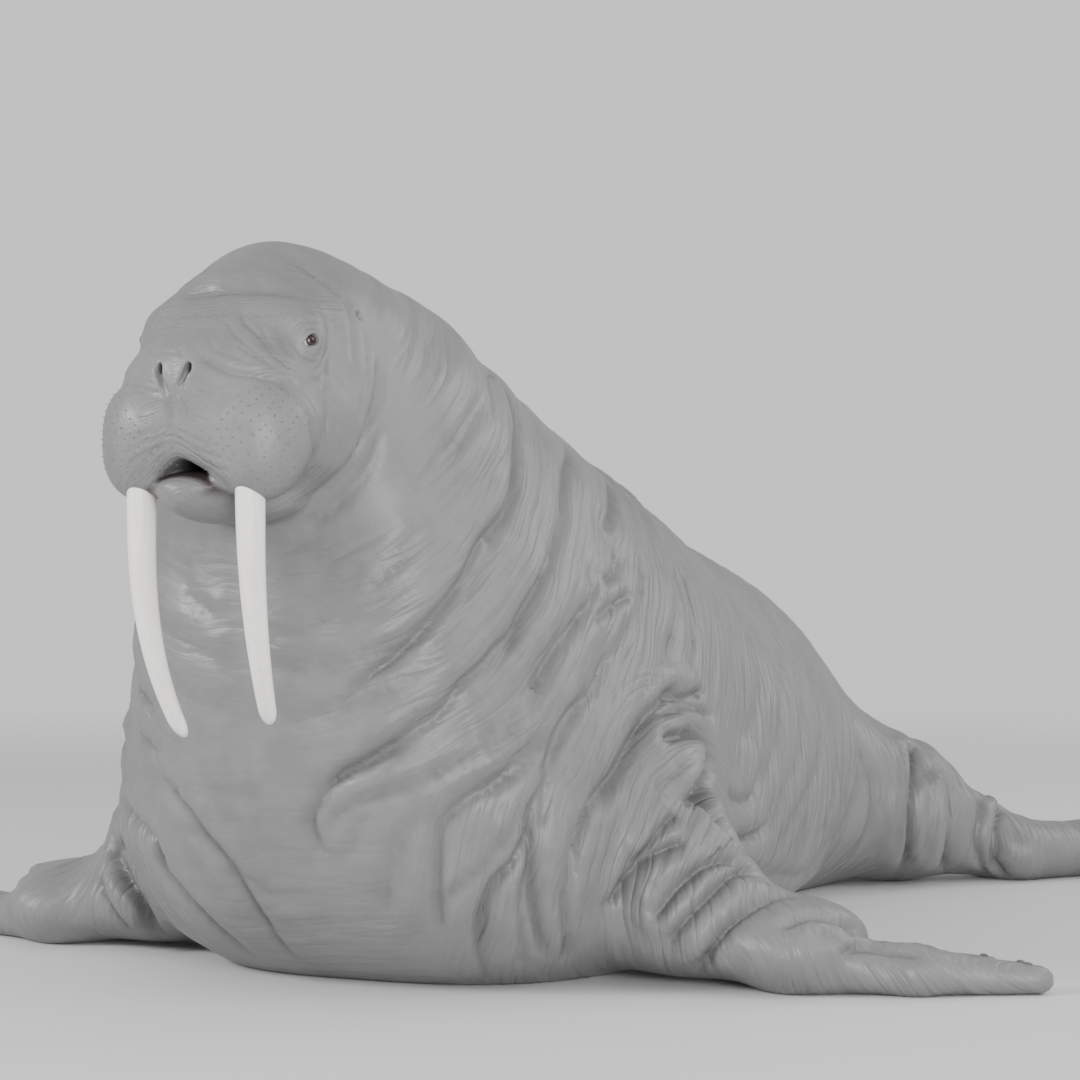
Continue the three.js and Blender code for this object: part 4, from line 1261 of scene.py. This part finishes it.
def claw_places():
    """The top of each digit near its tip, and the way that the digit points."""
    tops, ways = [], []
    for sign in (1, -1):
        for digit in FORE_DIGITS + HIND_DIGITS:
            knuckle, tip = np.array(digit["knuckle"], float), np.array(digit["tip"], float)
            place = mix(knuckle, tip, CLAW["along"])
            way = (tip - knuckle) / np.linalg.norm(tip - knuckle)
            tops.append([sign * place[0], place[1], 1.7 * digit["thick"][2]])
            ways.append([sign * way[0], way[1], 0])
    return settle(flesh, np.array(tops), 4), np.array(ways)


def patches(placed, spread, across=0.003):
    """Maps each small shape to a patch of its own, at its root's place on the unwrapped skin."""
    mesh = placed.data
    layer = mesh.uv_layers.new(name="OFBake")
    each = len(mesh.vertices) // len(spread)
    corner = np.empty(len(mesh.loops), np.int32)
    mesh.loops.foreach_get("vertex_index", corner)
    turn = 2 * np.pi * (corner % each) / each
    spot = spread[corner // each] + across / 2 * np.stack([np.cos(turn), np.sin(turn)], -1)
    layer.data.foreach_set("uv", spot.ravel().astype(np.float32))


# Tusks.
TUSK_RINGS = 56
TUSK_SIDES = 32


def tusk(name, sign):
    """Curved back and inward from the lip, and rounded at the tip."""
    reach = TUSK_LENGTH[name]
    made = []
    for i in range(TUSK_RINGS + 1):
        up = mix(TUSK["top"], TUSK["lip"] - reach, i / TUSK_RINGS)
        t = min(max((TUSK["lip"] - up) / reach, 0), 1)
        end = max((t - TUSK["tip"]) / 0.075, 0)
        size = (1 - TUSK["slim"] * t**1.3) * math.sqrt(max(1 - end**2, 0.02))
        x = sign * (TUSK["across"] + TUSK["flare"] * t - (TUSK["inward"] + TUSK["flare"]) * t**3)
        y = -TUSK["ahead"] + TUSK["back"] * t**2.6
        for k in range(TUSK_SIDES):
            turn = 2 * math.pi * k / TUSK_SIDES
            beside = x + TUSK["side"] * size * math.cos(turn)
            made.append(HEAD + [beside, y + TUSK["deep"] * size * math.sin(turn), up])
    sides = TUSK_SIDES
    shell = []
    for a in range(0, TUSK_RINGS * sides, sides):
        b = a + sides
        shell += [(b + k, b + (k + 1) % sides, a + (k + 1) % sides, a + k) for k in range(sides)]
    shell.append(tuple(range(sides)))
    shell.append(tuple(TUSK_RINGS * sides + k for k in reversed(range(sides))))
    placed = make_object("tusk_" + name, made, shell)
    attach(placed, "root")
    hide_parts("tusk_" + name)
    return placed


tusks = [tusk("left", 1), tusk("right", -1)]

# Eyes.
EYE_RINGS = 40
EYE_SIDES = 48
IRIS = {"radius": 9.2, "pupil": 3.9, "bulge": 1.1}


def eye(name, sign):
    look = math.radians(EYE["look"])
    ahead = np.array([sign * math.sin(look), -math.cos(look), 0.02])
    ahead /= np.linalg.norm(ahead)
    beside = np.cross([0, 0, 1], ahead)
    beside /= np.linalg.norm(beside)
    above = np.cross(ahead, beside)
    centre = HEAD + [sign * EYE["across"], -EYE["ahead"], EYE["up"]]
    made = [centre + ahead * (EYE["radius"] + IRIS["bulge"])]
    off = [0.0]
    for i in range(1, EYE_RINGS):
        lean = math.pi * i / EYE_RINGS
        flat = EYE["radius"] * math.sin(lean)
        bulge = IRIS["bulge"] * math.exp(-((flat / IRIS["radius"]) ** 4)) * (lean < 1.5)
        for k in range(EYE_SIDES):
            turn = 2 * math.pi * k / EYE_SIDES
            ray = math.cos(lean) * ahead + math.sin(lean) * (math.cos(turn) * beside + math.sin(turn) * above)
            made.append(centre + ray * (EYE["radius"] + bulge))
            off.append(flat if lean < math.pi / 2 else 2 * EYE["radius"] - flat)
    made.append(centre - ahead * EYE["radius"])
    off.append(2 * EYE["radius"])
    last = len(made) - 1
    shell = [(0, 1 + k, 1 + (k + 1) % EYE_SIDES) for k in range(EYE_SIDES)]
    for i in range(EYE_RINGS - 2):
        a, b = 1 + i * EYE_SIDES, 1 + (i + 1) * EYE_SIDES
        shell += [(a + k, b + k, b + (k + 1) % EYE_SIDES, a + (k + 1) % EYE_SIDES) for k in range(EYE_SIDES)]
    a = 1 + (EYE_RINGS - 2) * EYE_SIDES
    shell += [(a + k, last, a + (k + 1) % EYE_SIDES) for k in range(EYE_SIDES)]
    placed = make_object("eye_" + name, made, shell)
    put(placed.data, "off", np.array(off) * MM)
    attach(placed, "root")
    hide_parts("eye_" + name)
    return placed


eyes = [eye("left", 1), eye("right", -1)]


# Materials.
def wrinkle_group():
    """Small folds that run across the lie of the skin. The height is in metres."""
    inputs = {"Lie": "Vector", "Spacing": "Float", "Length": "Float", "Height": "Float"}
    tree, n, given, made = node_group("ShaderNodeTree", "wrinkles", inputs, ("Height", "Float"))
    across, along = (n.math("DIVIDE", 1.0, given[label]) for label in ("Spacing", "Length"))
    spread = n.add("ShaderNodeCombineXYZ", X=across, Y=along, Z=along)
    place = n.vector("MULTIPLY", given["Lie"], spread.outputs[0])
    ridge = n.math("ABSOLUTE", n.math("SUBTRACT", n.noise(place, 1.0, 1.5), 0.5))
    round_top = n.math("POWER", n.math("MULTIPLY", ridge, 4.0), 0.7)
    n.feed(made, n.math("MULTIPLY", round_top, given["Height"]))
    return tree


WRINKLES = wrinkle_group()


def new_material(name):
    made = bpy.data.materials.new(name)
    made.use_nodes = True
    made.node_tree.nodes.clear()
    n = Nodes(made.node_tree)
    surface = n.add("ShaderNodeBsdfPrincipled")
    n.add("ShaderNodeOutputMaterial", Surface=surface.outputs[0])
    return made, n, surface


def wrinkles(n, lie_socket, spacing, length, height):
    node = n.add("ShaderNodeGroup", {"node_tree": WRINKLES})
    return n.set(node, Lie=lie_socket, Spacing=spacing, Length=length, Height=height).outputs[0]


# Spacing, length and height of each size of wrinkle, in metres.
BODY_WRINKLES = [(0.034, 0.26, 0.0030), (0.016, 0.14, 0.0009), (0.0075, 0.05, 0.0002)]
FACE_WRINKLES = [(0.0085, 0.07, 0.0009), (0.0042, 0.03, 0.0004)]


def hide_material():
    made, n, surface = new_material("hide")
    place = n.add("ShaderNodeTexCoord").outputs["Object"]
    names = ("depth", "rough", "limb", "face", "pad", "inside")
    deep, rough, limb, face, on_pad, mouth_shade = (n.attribute(name).outputs["Fac"] for name in names)
    patches = n.fade(n.noise(place, 3.2, 4.0, 0.6), 0.32, 0.7)
    flecks = n.fade(n.noise(place, 26.0, 4.0, 0.65), 0.35, 0.75)
    base = n.colours(patches, (0.16, 0.157, 0.16, 1), (0.195, 0.192, 0.196, 1))
    base = n.colours(n.math("MULTIPLY", flecks, 0.3), base, (0.23, 0.225, 0.228, 1))
    swirl = n.add("ShaderNodeTexNoise", Vector=place, Scale=5.0, Detail=1.0).outputs["Color"]
    swirl = n.vector("SCALE", n.vector("SUBTRACT", swirl, (0.5, 0.5, 0.5)))
    swirl.node.inputs["Scale"].default_value = 0.04
    trunk_share = n.math("MULTIPLY", rough, n.math("SUBTRACT", 1.0, limb))
    limb_part = n.math("MULTIPLY", rough, limb)
    kinds = [("trunk_lie", trunk_share, BODY_WRINKLES), ("limb_lie", limb_part, BODY_WRINKLES),
             ("face_lie", face, FACE_WRINKLES)]
    folds = 0.0
    for name, share, sizes in kinds:
        lie = n.attribute(name).outputs["Vector"]
        bent = lie if name == "face_lie" else n.vector("ADD", lie, swirl)
        for spacing, length, height in sizes:
            high = n.math("MULTIPLY", share, height)
            folds = n.math("ADD", wrinkles(n, bent, spacing, length, high), folds)
    grain = n.math("MULTIPLY", n.noise(place, 85.0, 3.0, 0.55), on_pad)
    folds = n.math("MULTIPLY_ADD", grain, 0.0016, folds)
    leather = n.noise(place, 300.0, 3.0, 0.6)
    folds = n.math("MULTIPLY_ADD", leather, 0.0004, folds)
    cells = n.add("ShaderNodeTexVoronoi", {"voronoi_dimensions": "2D"}, Scale=1.0, Randomness=0.0)
    n.set(cells, Vector=n.attribute("pits").outputs["Vector"])
    pit = n.math("MULTIPLY", n.math("SUBTRACT", 1.0, n.fade(cells.outputs["Distance"], 0.04, 0.13)), on_pad)
    folds = n.math("MULTIPLY_ADD", pit, -0.0009, folds)
    # Creases are darkened by how deep in one each point lies: painted shade in the creases, with some dirt
    # that gathers there.
    base = n.colours(n.math("MULTIPLY", n.math("POWER", deep, 2.0), 0.5), base, (0.07, 0.067, 0.069, 1))
    # The whisker pits are darkened: painted shade in the pits.
    base = n.colours(n.math("MULTIPLY", pit, 0.3), base, (0.05, 0.047, 0.047, 1))
    # Inside the mouth the skin is painted near black: painted shade in the mouth.
    base = n.colours(mouth_shade, base, (0.03, 0.02, 0.02, 1))
    roughness = n.math("MULTIPLY_ADD", flecks, 0.1, 0.36)
    n.set(surface, Base_Color=base, Roughness=roughness, Specular_IOR_Level=0.45, Normal=n.bump(folds, 1.0))
    return made


def ivory_material():
    made, n, surface = new_material("ivory")
    place = n.add("ShaderNodeTexCoord").outputs["Object"]
    grain = n.noise(n.vector("MULTIPLY", place, (1.0, 1.0, 0.05)), 190.0, 3.0, 0.6)
    stain = n.fade(n.noise(place, 9.0, 3.0), 0.35, 0.75)
    tone = n.colours(n.fade(grain, 0.35, 0.7), (0.83, 0.81, 0.76, 1), (0.9, 0.885, 0.85, 1))
    tone = n.colours(n.math("MULTIPLY", stain, 0.3), tone, (0.76, 0.7, 0.6, 1))
    n.set(surface, Base_Color=tone, Roughness=0.34, Normal=n.bump(grain, 0.0006))
    return made


def eye_material():
    made, n, surface = new_material("eye")
    off = n.attribute("off").outputs["Fac"]
    place = n.add("ShaderNodeTexCoord").outputs["Object"]
    streak = n.noise(place, 700.0, 2.0)
    iris = n.colours(streak, (0.02, 0.012, 0.008, 1), (0.055, 0.032, 0.02, 1))
    white = n.colours(n.noise(place, 240.0, 3.0), (0.62, 0.52, 0.48, 1), (0.74, 0.67, 0.62, 1))
    rim, pupil = IRIS["radius"] * MM, IRIS["pupil"] * MM
    tone = n.colours(n.fade(off, rim * 0.93, rim * 1.03), iris, white)
    tone = n.colours(n.fade(off, pupil * 1.08, pupil * 0.92), tone, (0.004, 0.004, 0.004, 1))
    n.set(surface, Base_Color=tone, Roughness=0.2, Specular_IOR_Level=0.2)
    n.set(surface, Coat_Weight=0.6, Coat_Roughness=0.03)
    return made


def horn_material(name, dark, pale, roughness):
    """Claw or whisker, streaked by a fine grain."""
    made, n, surface = new_material(name)
    place = n.add("ShaderNodeTexCoord").outputs["Object"]
    grain = n.noise(n.vector("MULTIPLY", place, (1.0, 1.0, 0.2)), 420.0, 3.0, 0.6)
    tone = n.colours(n.fade(grain, 0.35, 0.7), dark, pale)
    n.set(surface, Base_Color=tone, Roughness=roughness, Normal=n.bump(grain, 0.0004))
    return made


tops, ways = claw_places()
claw_look = horn_material("claw", (0.075, 0.065, 0.058, 1), (0.14, 0.125, 0.11, 1), 0.45)
claws = set_on_skin("claws", setter_tree("claws", claw_shape), CLAW, tops, ways, claw_look)

roots, spreads = zip(pit_places(1), pit_places(-1))
roots = np.concatenate(roots)
stub_look = horn_material("whisker", (0.2, 0.19, 0.18, 1), (0.32, 0.3, 0.28, 1), 0.4)
stub_sizes = STUB | {"height": STUB["length"], "length": STUB["width"]}
upright = roots * 0 + [0, 0, 1]
stub_tree = setter_tree("whiskers", stub_shape)
stubs = set_on_skin("whiskers", stub_tree, stub_sizes, roots, upright, stub_look)
patches(stubs, np.concatenate(spreads))

skin.data.materials.append(hide_material())
ivory = ivory_material()
for each in tusks:
    each.data.materials.append(ivory)
eye_look = eye_material()
for each in eyes:
    each.data.materials.append(eye_look)


def camera_object():
    data = bpy.data.cameras.new("camera")
    data.sensor_width = SENSOR
    data.lens = CAMERA["focal"] * SENSOR / CAMERA["picture"]
    made = in_scene("camera", data)
    made.location = Vector(CAMERA["place"]) * MM
    made.rotation_euler = (math.radians(90 + CAMERA["pitch"]), 0, math.radians(CAMERA["azimuth"]))
    bpy.context.scene.camera = made


camera_object()

FLOOR = {"radius": 9000, "sides": 96, "solid": 3.4, "gone": 8.6}
turns = [2 * math.pi * k / FLOOR["sides"] for k in range(FLOOR["sides"])]
edge = [(FLOOR["radius"] * math.cos(a), FLOOR["radius"] * math.sin(a), 0) for a in turns]
floor = make_object("floor", edge, [tuple(range(FLOOR["sides"]))])
world = bpy.data.worlds.new("world")
bpy.context.scene.world = world
world.use_nodes = True
world_nodes = Nodes(world.node_tree)
sky = world.node_tree.nodes["Background"]
sky.inputs["Color"].default_value = (0.9, 0.9, 0.905, 1)
# The air is brighter to look at than the light that it gives.
seen = world_nodes.add("ShaderNodeLightPath").outputs["Is Camera Ray"]
world_nodes.feed(sky.inputs["Strength"], world_nodes.math("MULTIPLY_ADD", seen, 0.2, 0.8))


def area_light(name, place, aim, size, power):
    data = bpy.data.lights.new(name, "AREA")
    data.size = size
    data.energy = power
    made = in_scene(name, data)
    made.location = place
    made.rotation_euler = (Vector(aim) - Vector(place)).to_track_quat("-Z", "Y").to_euler()


area_light("key", (-4.2, -5.0, 3.4), (0, 0.2, 0.5), 2.0, 430)
area_light("fill", (4.6, -5.0, 1.6), (0, 0.2, 0.5), 2.6, 330)
area_light("side", (5.2, 0.2, 3.2), (0, 0.2, 0.5), 3.0, 90)
area_light("back", (3.4, 4.2, 3.4), (0, 0.8, 0.5), 2.4, 70)

stone, n, surface = new_material("floor")
away = n.add("ShaderNodeVectorMath", {"operation": "LENGTH"})
n.feed(away.inputs[0], n.add("ShaderNodeTexCoord").outputs["Object"])
shown = n.fade(away.outputs["Value"], FLOOR["gone"], FLOOR["solid"])
n.set(surface, Base_Color=(0.68, 0.68, 0.68, 1), Roughness=0.7, Alpha=shown)
floor.data.materials.append(stone)
